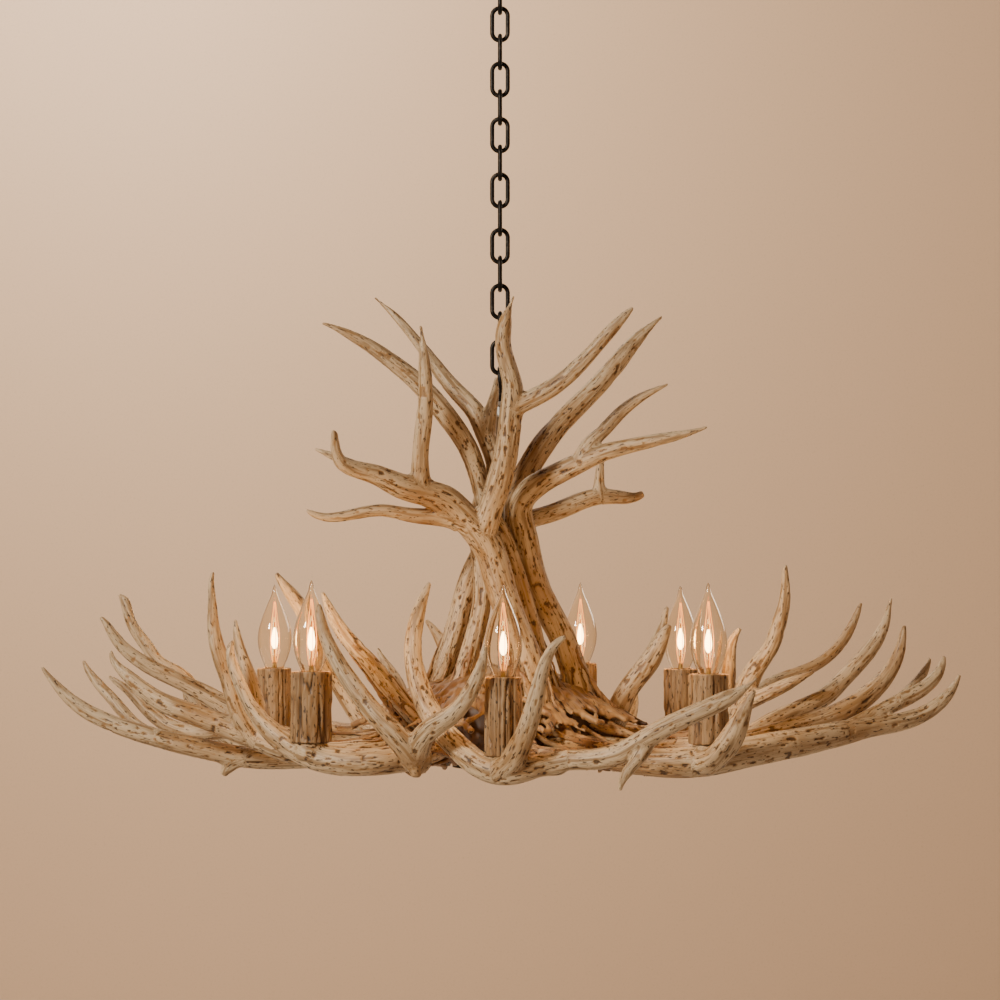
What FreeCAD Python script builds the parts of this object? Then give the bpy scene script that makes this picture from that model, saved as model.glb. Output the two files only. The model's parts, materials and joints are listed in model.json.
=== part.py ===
import FreeCAD, Part
import math
import os
import Sketcher
from FreeCAD import Placement, Rotation, Vector

# A six-light antler chandelier on a chain. Millimetres, +Z up, origin in the ceiling plane on the
# chain's axis, with the front of the fixture toward -Y. Crown antlers stand on a hub and cross above
# it; ring antlers lie round the hub and carry the six candle lamps.

doc = FreeCAD.newDocument("antler_chandelier")
sheet = doc.addObject("Spreadsheet::Sheet", "Sizes")

SIZES = {
    "canopy_radius": 63.5, "canopy_height": 30.0, "canopy_wall": 1.2,
    "bar_length": 112.0, "bar_width": 19.0, "bar_thickness": 2.5,
    "slot_spacing": 88.9, "slot_radius": 2.5, "slot_length": 12.0,
    "thread_radius": 4.85, "thread_bore": 3.2, "nut_radius": 8.5, "nut_height": 4.0,
    "nipple_length": 46.0, "ring_radius": 10.5, "ring_wire": 2.6,
    "link_wire": 4.4, "link_width": 20.0, "link_pitch": 27.9, "contact_gap": 0.3,
    "ceiling_ring_drop": 67.7, "stem_top": 490.0, "stem_length": 378.0,
    "hub_top": 782.0, "hub_radius": 106.0, "hub_depth": 72.0,
    "hub_offset": 29.0, "hub_stretch": 1.1,
    "cover_radius": 48.0, "cover_height": 9.0, "cover_offset": 26.0, "finial_radius": 13.0,
    "sleeve_bore": 11.2, "socket_radius": 10.9, "socket_bore": 6.4,
    "lamp_screw_radius": 5.9, "glass_radius": 17.5, "glass_height": 86.0, "glass_wall": 0.8,
    "screw_radius": 2.0, "screw_head_height": 2.4,
    "collar_radius": 14.0, "collar_height": 6.0,
    "barrel_radius": 9.0, "barrel_height": 18.0, "barrel_neck_radius": 4.0,
    "fixture_neck_radius": 7.5, "fixture_neck_length": 13.0,
    "knob_height": 16.0, "knob_top_radius": 6.0,
    "lamp_screw_length": 20.0, "contact_height": 3.0, "contact_radius": 2.2, "contact_flare": 4.0,
    "stem_foot_radius": 3.2, "stem_tip_radius": 1.4, "stem_rise": 22.0,
    "filament_radius": 0.8, "filament_length": 34.0,
}
for row, (alias, number) in enumerate(SIZES.items(), start=1):
    sheet.set(f"A{row}", alias)
    sheet.set(f"B{row}", str(number))
    sheet.setAlias(f"B{row}", alias)
doc.recompute()

LINKS = 14
LIGHTS = 6
WHOLE_TURN = 360.0
STATION_SPACING = 24.0
MIN_STATIONS = 7


class Size:
    """A number together with the spreadsheet formula that gives it."""

    def __init__(self, number, formula):
        self.number = float(number)
        self.formula = formula

    def _with(self, other, sign, number):
        return Size(number, f"({self.formula} {sign} {as_size(other).formula})")

    def __add__(self, other):
        return self._with(other, "+", self.number + as_size(other).number)

    def __sub__(self, other):
        return self._with(other, "-", self.number - as_size(other).number)

    def __mul__(self, other):
        return self._with(other, "*", self.number * as_size(other).number)

    def __neg__(self):
        return self * -1


def as_size(value):
    return value if isinstance(value, Size) else Size(value, repr(float(value)))


def cell(alias):
    return Size(sheet.get(alias), f"Sizes.{alias}")


def bind(thing, **sizes):
    """Bind properties of a primitive to the spreadsheet."""
    for name, size in sizes.items():
        size = as_size(size)
        setattr(thing, name, size.number)
        thing.setExpression(name, size.formula)


def place(thing, base=(0, 0, 0), axis=Vector(0, 0, 1), angle=0.0):
    """Put an object at a bound position, turned about an axis through it."""
    numbers = [as_size(value) for value in base]
    thing.Placement = Placement(Vector(*[size.number for size in numbers]), Rotation(axis, angle))
    for letter, size in zip("xyz", numbers):
        if "Sizes" in size.formula:
            thing.setExpression(f"Placement.Base.{letter}", size.formula)
    return thing


def rod(name, radius, bottom, height, at=(0, 0)):
    thing = doc.addObject("Part::Cylinder", name)
    bind(thing, Radius=radius, Height=height)
    return place(thing, (at[0], at[1], bottom))


def cone(name, radius_low, radius_high, bottom, height, at=(0, 0)):
    thing = doc.addObject("Part::Cone", name)
    bind(thing, Radius1=radius_low, Radius2=radius_high, Height=height)
    return place(thing, (at[0], at[1], bottom))


def hexagon(name, radius, bottom, height):
    thing = doc.addObject("Part::Prism", name)
    thing.Polygon = 6
    bind(thing, Circumradius=radius, Height=height)
    return place(thing, (0, 0, bottom))


def torus(name, radius, wire, height, facing_y):
    """An upright ring: in the XZ plane when it faces Y, otherwise in the YZ plane."""
    thing = doc.addObject("Part::Torus", name)
    bind(thing, Radius1=radius, Radius2=wire)
    axis = Vector(1, 0, 0) if facing_y else Vector(0, 1, 0)
    return place(thing, (0, 0, height), axis, 90)


def fuse(name, *pieces):
    thing = doc.addObject("Part::MultiFuse", name)
    thing.Shapes = list(pieces)
    return thing


def cut(name, base, *tools):
    thing = doc.addObject("Part::Cut", name)
    thing.Base = base
    thing.Tool = tools[0] if len(tools) == 1 else fuse(name + "_tools", *tools)
    return thing


def group(name, *pieces):
    thing = doc.addObject("Part::Compound", name)
    thing.Links = list(pieces)
    return thing


def shaped(name, shape):
    thing = doc.addObject("Part::Feature", name)
    thing.Shape = shape
    return thing


sub_parts = []


def sub_part(thing, label):
    """Register a finished sub-part under the name of its file."""
    thing.Label = label
    sub_parts.append(thing)
    return thing


# ---------------------------------------------------------------- ceiling hardware

def ceiling_hardware():
    thread = cell("thread_radius")
    bore = cell("thread_bore")

    bar = doc.addObject("Part::Box", "bar_blank")
    bind(bar, Length=cell("bar_length"), Width=cell("bar_width"), Height=cell("bar_thickness"))
    place(bar, (cell("bar_length") * -0.5, cell("bar_width") * -0.5, -cell("bar_thickness")))
    deep = cell("bar_thickness") * 3
    cutters = [rod("bar_centre_hole", thread, cell("bar_thickness") * -2, deep)]
    for side in (-1, 1):
        middle = cell("slot_spacing") * (0.5 * side)
        for end in (-1, 1):
            centre = middle + cell("slot_length") * (0.5 * end) - cell("slot_radius") * end
            cutters.append(rod(f"slot_end_{side}_{end}", cell("slot_radius"),
                               cell("bar_thickness") * -2, deep, (centre, 0)))
        slot = doc.addObject("Part::Box", f"slot_{side}")
        bind(slot, Length=cell("slot_length") - cell("slot_radius") * 2,
             Width=cell("slot_radius") * 2, Height=deep)
        place(slot, (middle - cell("slot_length") * 0.5 + cell("slot_radius"),
                     -cell("slot_radius"), cell("bar_thickness") * -2))
        cutters.append(slot)
    sub_part(cut("bar", bar, *cutters), "crossbar")

    bottom = -cell("nipple_length")
    sub_part(cut("nipple", rod("nipple_blank", thread, bottom, cell("nipple_length")),
                 rod("nipple_bore", bore, bottom - 1, cell("nipple_length") + 2)),
             "threaded_nipple")
    nut_bottom = -cell("bar_thickness") - cell("nut_height")
    sub_part(cut("nut", hexagon("nut_blank", cell("nut_radius"), nut_bottom, cell("nut_height")),
                 rod("nut_bore", thread, nut_bottom - 1, cell("nut_height") + 2)),
             "nipple_locknut")
    sub_part(canopy(), "canopy")

    collar_top = -cell("canopy_height")
    collar_bottom = collar_top - cell("collar_height")
    barrel = cell("barrel_radius")
    sub_part(cut("collar",
                 rod("collar_blank", cell("collar_radius"), collar_bottom, cell("collar_height")),
                 rod("collar_bore", barrel, collar_bottom - 1, cell("collar_height") + 2)),
             "collar_ring")
    loop_drop = -cell("ceiling_ring_drop")
    ring_top = loop_drop + cell("ring_radius")
    neck_top = collar_top - cell("barrel_height")
    neck = cone("loop_neck", cell("barrel_neck_radius"), barrel, ring_top - 1,
                neck_top - ring_top + 1)
    body = fuse("loop_body", rod("loop_barrel", barrel, neck_top, cell("barrel_height")), neck,
                torus("loop_ring", cell("ring_radius"), cell("ring_wire"), loop_drop, True))
    sub_part(cut("loop", body, rod("loop_thread", thread, bottom, 40)), "canopy_loop")


def canopy():
    """A spun dome with a flat bottom, a rolled rim and a centre hole."""
    radius = sheet.get("canopy_radius")
    height = sheet.get("canopy_height")
    wall = sheet.get("canopy_wall")
    flat = 24.0

    def dome(grow):
        rim = Vector(radius + grow, 0, 0)
        shoulder = Vector(radius * 0.86 + grow, 0, -height * 0.62 - grow)
        low = Vector(flat, 0, -height - grow)
        arc = Part.Arc(rim, shoulder, low).toShape()
        return [Part.makeLine(Vector(0, 0, 0), rim), arc,
                Part.makeLine(low, Vector(0, 0, -height - grow)),
                Part.makeLine(Vector(0, 0, -height - grow), Vector(0, 0, 0))]

    outer, inner = [
        Part.Face(Part.Wire(dome(grow))).revolve(Vector(0, 0, 0), Vector(0, 0, 1), WHOLE_TURN)
        for grow in (0, -wall)]
    hole = Part.makeCylinder(sheet.get("thread_radius") + 0.1, 20, Vector(0, 0, -height - 10))
    return shaped("canopy_shell", outer.cut(inner).cut(hole))


# ---------------------------------------------------------------- chain

def link_centre(number):
    """Height of a link's centre, numbered 1 at the ceiling, in Size form."""
    ring_inside = -cell("ceiling_ring_drop") - cell("ring_radius") + cell("ring_wire")
    half_inside = (cell("link_pitch") + cell("contact_gap")) * 0.5
    first = ring_inside + cell("contact_gap") - half_inside
    return first - cell("link_pitch") * (number - 1)


def chain_link(number):
    """An oval link swept round a rounded loop. Odd links lie in the YZ plane, even in the XZ."""
    name = f"link_{number:02d}"
    body = doc.addObject("PartDesign::Body", name)
    planes = {plane.Role: plane for plane in body.Origin.OriginFeatures}
    bend = (cell("link_width") - cell("link_wire")) * 0.5
    straight = cell("link_pitch") + cell("contact_gap") + cell("link_wire") - bend * 2
    half = straight * 0.5

    path = body.newObject("Sketcher::SketchObject", name + "_path")
    path.AttachmentSupport = [(planes["XZ_Plane"], "")]
    path.MapMode = "FlatFace"
    run, rise = bend.number, half.number
    turn = math.pi
    path.addGeometry([
        Part.LineSegment(Vector(run, -rise, 0), Vector(run, rise, 0)),
        Part.ArcOfCircle(Part.Circle(Vector(0, rise, 0), Vector(0, 0, 1), run), 0, turn),
        Part.LineSegment(Vector(-run, rise, 0), Vector(-run, -rise, 0)),
        Part.ArcOfCircle(Part.Circle(Vector(0, -rise, 0), Vector(0, 0, 1), run), turn, 2 * turn),
    ], False)
    path.addConstraint([
        Sketcher.Constraint("Tangent", 0, 2, 1, 1), Sketcher.Constraint("Tangent", 1, 2, 2, 1),
        Sketcher.Constraint("Tangent", 2, 2, 3, 1), Sketcher.Constraint("Tangent", 3, 2, 0, 1),
        Sketcher.Constraint("Symmetric", 1, 3, 3, 3, -1, 1),
        Sketcher.Constraint("Vertical", 0),
        Sketcher.Constraint("Radius", 1, run), Sketcher.Constraint("DistanceY", 0, 1, 0, 2, 2 * rise),
    ])
    path.setExpression("Constraints[6]", bend.formula)
    path.setExpression("Constraints[7]", straight.formula)

    section = body.newObject("Sketcher::SketchObject", name + "_section")
    section.AttachmentSupport = [(planes["XY_Plane"], "")]
    section.MapMode = "FlatFace"
    wire = cell("link_wire") * 0.5
    section.addGeometry(Part.Circle(Vector(run, 0, 0), Vector(0, 0, 1), wire.number), False)
    section.addConstraint([
        Sketcher.Constraint("Radius", 0, wire.number),
        Sketcher.Constraint("PointOnObject", 0, 3, -1),
        Sketcher.Constraint("DistanceX", -1, 1, 0, 3, run),
    ])
    section.setExpression("Constraints[0]", wire.formula)
    section.setExpression("Constraints[2]", bend.formula)
    doc.recompute()

    sweep = body.newObject("PartDesign::AdditivePipe", name + "_sweep")
    sweep.Profile = section
    sweep.Spine = (path, [f"Edge{edge}" for edge in range(1, 5)])
    place(body, (0, 0, link_centre(number)), Vector(0, 0, 1), 90 * (number % 2))
    return sub_part(body, name)


# ---------------------------------------------------------------- antlers
# Each antler is a list of limbs, the beam first. A limb is a list of (x, y, z, radius) in mm from its
# root to its tip, and each tine's root lies inside the limb that carries it.

CROWN = {
    "crown_front": [
        [(37, -62, -815, 17), (30, -60, -765, 14.5), (1, -52, -684, 14.5), (-13, -48, -640, 15.5),
         (-31, -55, -617, 14.5), (-61, -66, -593, 14.5), (-97, -80, -583, 13), (-120, -90, -573, 10.5),
         (-142, -100, -567, 8.5), (-154, -108, -559, 7), (-160, -112, -547, 5), (-159, -114, -531, 1.8)],
        [(-140, -98, -566, 7), (-152, -90, -560, 5.5), (-164, -80, -554, 4), (-181, -70, -547, 1.6)],
        [(-78, -72, -587, 12), (-78, -76, -566, 9.5), (-77, -80, -546, 8.5), (-73, -86, -510, 8.3),
         (-73, -92, -471, 6.5), (-77, -98, -428, 1.6)],
        [(-40, -56, -620, 9), (-67, -58, -613, 8.5), (-83, -60, -612, 7.5), (-106, -66, -608, 7),
         (-132, -74, -608, 6.3), (-150, -78, -613, 6), (-172, -84, -613, 4.5), (-188, -88, -607, 1.6)],
        [(-16, -50, -626, 13.5), (-9, -58, -604, 12.5), (3, -68, -565, 12.5), (11, -76, -513, 11.5),
         (12, -80, -485, 10), (6, -83, -461, 8.5), (3, -86, -436, 7.3), (9, -89, -412, 4.8),
         (14, -91, -399, 1.8)],
        [(13, -77, -507, 9.5), (32, -80, -498, 9), (55, -84, -485, 8.5), (86, -90, -457, 7.5),
         (112, -96, -428, 5.8), (129, -100, -411, 1.8)],
    ],
    "crown_right": [
        [(86, 10, -815, 17), (80, 9, -791, 15), (59, 4, -726, 13.5), (36, -4, -680, 13.5),
         (23, -10, -625, 13.5), (20, -16, -601, 13), (38, -24, -580, 11.5), (66, -32, -565, 10.5),
         (91, -40, -553, 9.8), (118, -48, -545, 8), (162, -58, -536, 6), (203, -66, -525, 1.8)],
        [(80, -37, -557, 8.5), (89, -36, -540, 8), (106, -36, -524, 7), (118, -38, -511, 6.2),
         (139, -42, -495, 5.2), (166, -46, -482, 1.6)],
    ],
    "crown_right_rear": [
        [(-72, 14, -815, 15), (-62, 16, -776, 11.8), (-45, 20, -727, 11.5), (-30, 24, -675, 11.5),
         (-3, 28, -621, 12), (23, 34, -573, 12), (47, 40, -534, 11.5), (70, 46, -507, 11),
         (106, 52, -470, 10), (137, 58, -433, 7), (166, 62, -406, 1.8)],
        [(102, 52, -474, 8), (122, 62, -457, 6), (141, 70, -436, 1.8)],
        [(0, 29, -620, 10.5), (18, 35, -616, 10.5), (36, 39, -612, 10), (70, 46, -600, 9.5),
         (101, 52, -590, 9), (124, 56, -591, 7), (146, 60, -587, 4)],
        [(102, 52, -590, 8.5), (101, 52, -575, 6), (102, 50, -558, 4.5), (103, 48, -541, 1.8)],
    ],
    "crown_left": [
        [(55, -32, -815, 14), (47, -30, -784, 11.5), (33, -29, -734, 10.5), (18, -28, -680, 10),
         (5, -26, -640, 10), (-11, -31, -608, 10), (-20, -36, -579, 10), (-33, -42, -543, 10.5),
         (-56, -48, -509, 10.3), (-79, -52, -483, 9.3), (-110, -56, -458, 8), (-139, -60, -439, 6),
         (-175, -64, -423, 1.6)],
    ],
    "crown_rear": [
        [(-48, -14, -815, 13), (-38, -12, -775, 10.5), (-26, -10, -735, 9.5), (-17, -8, -690, 9.5),
         (-21, -3, -640, 9.5), (-21, -5, -610, 9.5), (-14, -11, -590, 9.5), (-4, -20, -566, 10),
         (-11, -22, -538, 10.5), (-26, -15, -506, 9.5), (-45, -8, -485, 8), (-73, -2, -449, 6.5),
         (-100, 4, -416, 4.5), (-126, 10, -391, 1.6)],
        [(-12, -21, -530, 9), (-9, -22, -508, 7), (-5, -21, -488, 4.6), (-4, -20, -473, 1.6)],
    ],
}

RING = {
    "ring_front": [
        [(14, -72, -838, 11.5), (24, -130, -838, 11), (34, -190, -841, 11), (52, -230, -840, 10.5),
         (83, -245, -839, 10), (108, -254, -834, 10.5), (130, -264, -821, 9.5),
         (156, -274, -805, 9), (199, -284, -785, 8), (232, -292, -763, 2)],
        [(62, -238, -840, 9.5), (34, -238, -846, 11), (14, -238, -850, 12.5), (-8, -231, -850, 12.5),
         (-30, -214, -838, 12), (-50, -194, -820, 11.5), (-66, -178, -798, 11), (-77, -168, -772, 10),
         (-82, -161, -745, 9), (-81, -155, -722, 7.8), (-75, -148, -698, 5.8), (-67, -140, -677, 2)],
        [(0, -236, -850, 11.5), (16, -250, -832, 11.5), (26, -258, -806, 9.3), (34, -264, -776, 7.5),
         (43, -268, -745, 5.6), (60, -272, -726, 2)],
        [(134, -264, -822, 7), (125, -268, -838, 6), (115, -270, -850, 5.3), (109, -270, -866, 2.2)],
    ],
    "ring_front_left": [
        [(-52, -66, -838, 12.5), (-62, -112, -838, 12.5), (-78, -156, -840, 13),
         (-104, -182, -844, 13), (-140, -180, -846, 12.5), (-178, -167, -840, 12),
         (-206, -156, -826, 10.5), (-231, -148, -803, 8), (-247, -143, -775, 6.5),
         (-255, -140, -753, 5), (-254, -138, -732, 1.8)],
        [(-82, -166, -840, 12), (-78, -194, -841, 14), (-84, -212, -832, 13.5),
         (-97, -216, -818, 11.5), (-111, -214, -804, 10.5), (-129, -208, -783, 9.3),
         (-148, -202, -756, 8), (-165, -196, -722, 6), (-169, -192, -697, 1.8)],
        [(-80, -202, -839, 12.5), (-73, -220, -823, 11.5), (-62, -231, -810, 10.5),
         (-45, -239, -799, 9), (-29, -245, -780, 7.5), (-19, -249, -759, 6), (-14, -252, -734, 1.8)],
        [(-78, -202, -838, 11), (-78, -207, -848, 9), (-78, -210, -858, 4)],
    ],
    "ring_left_inner": [
        [(-62, -46, -816, 11), (-80, -66, -812, 10.5), (-93, -83, -798, 9.8), (-105, -92, -783, 9.5),
         (-125, -94, -757, 9), (-149, -97, -729, 7.5), (-164, -99, -705, 5.5), (-172, -100, -686, 1.8)],
    ],
    "ring_left_mid": [
        [(-78, -30, -838, 12), (-140, -74, -844, 13), (-194, -90, -842, 12.5), (-243, -84, -825, 12),
         (-277, -78, -813, 11), (-309, -74, -802, 10), (-329, -70, -794, 9), (-352, -66, -779, 7.8),
         (-368, -64, -765, 6), (-381, -62, -744, 1.8)],
        [(-238, -86, -827, 10.5), (-252, -90, -804, 9.5), (-264, -91, -769, 8.5),
         (-274, -91, -740, 7.3), (-279, -90, -705, 5.3), (-278, -90, -667, 1.8)],
        [(-218, -86, -834, 9), (-236, -62, -802, 7.5), (-243, -50, -776, 6.8), (-251, -43, -757, 6),
         (-258, -40, -736, 4.8), (-261, -38, -714, 1.6)],
    ],
    "ring_left_low": [
        [(-84, -6, -838, 11.5), (-140, -20, -846, 12.5), (-190, -25, -849, 12.5),
         (-252, -28, -850, 11), (-297, -28, -841, 10.5), (-347, -26, -829, 9.5),
         (-387, -24, -816, 8.5), (-413, -22, -803, 7.5), (-434, -20, -786, 6), (-455, -18, -761, 1.8)],
        [(-340, -26, -830, 8), (-373, -4, -810, 6.5), (-389, 5, -793, 6), (-406, 10, -775, 5),
         (-418, 12, -755, 1.6)],
        [(-250, -28, -849, 9), (-268, -28, -860, 6.5), (-274, -28, -868, 4)],
    ],
    "ring_left": [
        [(-84, 20, -838, 11.5), (-145, 30, -842, 12.5), (-200, 32, -838, 12.5), (-243, 27, -826, 12),
         (-276, 22, -803, 10.5), (-324, 16, -776, 9), (-349, 12, -763, 8), (-369, 10, -750, 7),
         (-386, 8, -732, 5.5), (-400, 6, -712, 1.8)],
        [(-250, 27, -823, 9.5), (-300, 44, -830, 8.5), (-332, 50, -825, 8), (-354, 56, -811, 7),
         (-377, 60, -790, 5.5), (-399, 62, -773, 1.6)],
        [(-104, 25, -838, 9), (-98, 33, -806, 8), (-103, 38, -782, 7), (-114, 40, -763, 5.5),
         (-124, 42, -744, 1.8)],
    ],
    "ring_left_back": [
        [(-74, 48, -838, 12), (-130, 80, -842, 12.5), (-185, 98, -846, 12.5), (-233, 104, -849, 12.5),
         (-275, 108, -838, 11), (-305, 110, -812, 10), (-330, 110, -776, 8.5), (-344, 111, -767, 8.3),
         (-361, 112, -752, 7.5), (-376, 113, -730, 6.3), (-386, 114, -710, 5), (-395, 114, -690, 1.8)],
        [(-268, 108, -840, 9), (-300, 150, -835, 8), (-325, 185, -815, 6.5), (-338, 205, -780, 1.8)],
    ],
    "ring_back_left": [
        [(-46, 70, -838, 12), (-92, 130, -842, 13), (-135, 160, -828, 12), (-163, 165, -791, 10),
         (-187, 161, -749, 8.5), (-211, 155, -702, 6.5), (-224, 152, -684, 5), (-235, 150, -668, 1.8)],
        [(-85, 122, -842, 10), (-60, 175, -815, 9), (-52, 198, -770, 7.5), (-64, 202, -738, 5),
         (-79, 203, -718, 1.8)],
        [(-128, 156, -832, 10), (-170, 205, -838, 9), (-212, 238, -820, 7.5), (-236, 252, -790, 1.8)],
    ],
    "ring_back": [
        [(18, 80, -838, 12.5), (54, 150, -842, 13), (86, 210, -848, 13), (84, 250, -842, 11.5),
         (60, 278, -822, 9.5), (44, 284, -785, 7), (46, 280, -745, 2)],
        [(88, 214, -847, 10), (118, 250, -842, 9), (140, 282, -826, 7.5), (150, 304, -798, 1.8)],
        [(70, 262, -835, 9), (20, 290, -838, 8), (-22, 300, -822, 7), (-46, 302, -790, 1.8)],
    ],
    "ring_right_back": [
        [(68, 42, -838, 12), (118, 66, -836, 12.5), (152, 88, -841, 12.5), (187, 110, -848, 13),
         (216, 132, -834, 10.5), (234, 145, -805, 8), (240, 150, -769, 6.5), (243, 150, -743, 5),
         (252, 148, -726, 1.8)],
        [(108, 60, -836, 11), (118, 40, -812, 10), (129, 30, -786, 9), (146, 26, -764, 8.5),
         (160, 24, -741, 7), (171, 22, -720, 2)],
        [(143, 27, -767, 7), (160, 37, -736, 5.5), (169, 44, -702, 1.8)],
        [(196, 116, -845, 9.5), (216, 178, -842, 9), (226, 226, -826, 8), (226, 258, -790, 1.8)],
    ],
    "ring_right_mid": [
        [(88, 8, -838, 11.5), (145, -4, -841, 12.5), (198, -24, -836, 12.5), (228, -38, -818, 12),
         (238, -43, -796, 11.5), (246, -48, -771, 10.5), (260, -54, -749, 9), (273, -58, -721, 7.5),
         (279, -62, -688, 5.5), (280, -64, -660, 1.8)],
        [(240, -44, -796, 9), (257, -58, -788, 8), (280, -68, -777, 6.5), (306, -76, -764, 1.8)],
        [(236, -42, -800, 8.5), (256, -14, -786, 7), (276, 2, -775, 6.5), (302, 14, -767, 6.3),
         (322, 22, -758, 6), (342, 28, -741, 5.5), (356, 32, -720, 4.5), (365, 34, -698, 1.6)],
    ],
    "ring_right": [
        [(84, -26, -838, 12), (140, -62, -842, 12.5), (195, -92, -838, 12.5), (241, -105, -830, 12.5),
         (285, -96, -819, 12), (325, -84, -807, 11), (349, -76, -794, 10), (368, -70, -779, 9),
         (383, -66, -761, 7.5), (392, -64, -740, 5.5), (396, -62, -719, 1.8)],
        [(232, -104, -831, 10), (263, -75, -815, 10.5), (294, -50, -802, 10), (315, -42, -793, 9.5),
         (330, -38, -782, 9), (352, -32, -760, 8), (370, -28, -739, 7), (382, -26, -716, 5),
         (388, -24, -693, 1.8)],
    ],
    "ring_front_right": [
        [(50, -66, -838, 11.5), (84, -128, -840, 12.5), (130, -168, -845, 13), (185, -184, -845, 15),
         (223, -178, -838, 14.5), (257, -160, -833, 14.5), (290, -140, -828, 14),
         (327, -118, -822, 12),
         (375, -96, -814, 9.5), (399, -88, -809, 8.5), (422, -84, -798, 7), (438, -81, -783, 5),
         (447, -80, -767, 1.8)],
        [(188, -186, -846, 13), (203, -206, -838, 12), (216, -218, -818, 11), (225, -224, -796, 8),
         (235, -230, -776, 2)],
        [(332, -116, -821, 9.5), (366, -84, -804, 8), (391, -76, -792, 7.8), (413, -68, -781, 7.5),
         (428, -62, -767, 5.5), (435, -58, -749, 1.8)],
        [(388, -77, -793, 6.5), (406, -52, -779, 5.5), (418, -38, -766, 4.5), (426, -28, -752, 1.6)],
    ],
}


def section(centre, along, start, radius):
    """A circle across the limb whose seam faces the given start direction."""
    side = along.cross(start)
    turn = Rotation(start, side, along, "ZXY")
    circle = Part.Wire(Part.makeCircle(radius))
    circle.Placement = Placement(centre, turn)
    return circle


# The rear antlers are stouter, and the hub and its steel cover sit a little to the rear, so that the
# fixture's weight lies under the chain and it hangs level.
STOUTNESS = {"ring_back": 1.25, "ring_back_left": 1.25, "ring_right_back": 1.25}


def limb(route, stoutness):
    """A tapering round limb lofted through evenly spaced circles on a smooth line."""
    line = Part.BSplineCurve()
    line.interpolate([Vector(x, y, z) for x, y, z, _ in route])
    reach = [line.length(line.FirstParameter, line.parameter(Vector(x, y, z)))
             for x, y, z, _ in route]
    stations = max(MIN_STATIONS, round(reach[-1] / STATION_SPACING) + 1)
    start = Vector(0, 1, 0.2)
    sections = []
    for centre in line.discretize(Number=stations):
        place_on_line = line.parameter(centre)
        along = line.tangent(place_on_line)[0]
        start = (start - along * start.dot(along)).normalize()
        travelled = line.length(line.FirstParameter, place_on_line)
        radius = stoutness * radius_at(travelled, reach, route)
        sections.append(section(centre, along, start, radius))
    return Part.makeLoft(sections, True, False)


def radius_at(travelled, reach, route):
    """The limb's radius at a distance along it, between the radii its route gives."""
    for step in range(1, len(reach)):
        if travelled <= reach[step] or step == len(reach) - 1:
            share = (travelled - reach[step - 1]) / (reach[step] - reach[step - 1])
            share = min(1.0, max(0.0, share))
            return route[step - 1][3] * (1 - share) + route[step][3] * share


def antler_shape(limbs, stoutness, extras=()):
    beam, *tines = [limb(route, stoutness) for route in limbs]
    whole = beam.fuse(tines + list(extras)) if tines or extras else beam
    return whole.Solids[0] if len(whole.Solids) == 1 else whole


# ---------------------------------------------------------------- lamps
# Each lamp: x, y, height of the sleeve's top, sleeve radius, sleeve length and carrying antler.

LAMPS = [
    (3, -229, -764, 17.0, 73, "ring_front"),
    (196, -176, -763, 18.8, 66, "ring_front_right"),
    (187, 110, -767, 17.5, 69, "ring_right_back"),
    (86, 210, -764, 17.0, 72, "ring_back"),
    (-233, 104, -766, 17.5, 71, "ring_left_back"),
    (-178, -166, -761, 19.0, 67, "ring_front_left"),
]
BOSS_INSET = 3.0
BOSS_DEPTH = 15.0
NIPPLE_SEAT = 9.0
SOCKET_TOP = 9.0
SOCKET_LENGTH = 48.0
SOCKET_BORE_DEPTH = 28.0

# The clear glass: how far above the sleeve's top each station stands, and its share of the radius.
GLASS_PROFILE = [
    (-9.0, 0.36), (-5.0, 0.42), (0.0, 0.54), (8.0, 0.73), (19.0, 0.93), (31.0, 1.0), (45.0, 0.87),
    (58.0, 0.61), (69.0, 0.35), (77.0, 0.17), (82.0, 0.105),
]


def lamp_boss(lamp):
    """The flat seat that stands on an antler under a lamp, and the hole for its nipple."""
    x, y, top, radius, length, _ = lamp
    seat = top - length
    boss = Part.makeCylinder(radius - BOSS_INSET, BOSS_DEPTH, Vector(x, y, seat - BOSS_DEPTH))
    hole = Part.makeCylinder(sheet.get("thread_radius"), 40, Vector(x, y, seat - NIPPLE_SEAT))
    room = Part.makeCylinder(radius + 0.5, length, Vector(x, y, seat))
    return boss, [hole, room]


def lamp_holders():
    """Threaded nipples, sockets and bark-covered sleeves, one of each for every light."""
    nipples, sockets, sleeves = [], [], []
    thread = cell("thread_radius")
    for number, (x, y, top, radius, length, _) in enumerate(LAMPS, start=1):
        at = (x, y)
        seat = top - length
        socket_bottom = top - SOCKET_TOP - SOCKET_LENGTH
        rise = socket_bottom + NIPPLE_SEAT - seat + NIPPLE_SEAT
        nipples.append(cut(f"lamp_nipple_{number}",
                           rod(f"lamp_nipple_blank_{number}", thread, seat - NIPPLE_SEAT, rise, at),
                           rod(f"lamp_nipple_bore_{number}", cell("thread_bore"),
                               seat - NIPPLE_SEAT - 1, rise + 2, at)))
        sockets.append(cut(f"socket_{number}",
                           rod(f"socket_blank_{number}", cell("socket_radius"), socket_bottom,
                               SOCKET_LENGTH, at),
                           rod(f"socket_thread_{number}", thread, socket_bottom - 1,
                               NIPPLE_SEAT + 1, at),
                           rod(f"socket_well_{number}", cell("socket_bore"),
                               top - SOCKET_TOP - SOCKET_BORE_DEPTH, SOCKET_BORE_DEPTH + 1, at)))
        sleeves.append(cut(f"sleeve_{number}", rod(f"sleeve_blank_{number}", radius, seat, length, at),
                           rod(f"sleeve_bore_{number}", cell("sleeve_bore"), seat - 1, length + 2, at)))
    sub_part(group("nipple_group", *nipples), "socket_nipples")
    sub_part(group("socket_group", *sockets), "lamp_sockets")
    sub_part(group("sleeve_group", *sleeves), "candle_sleeves")


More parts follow.
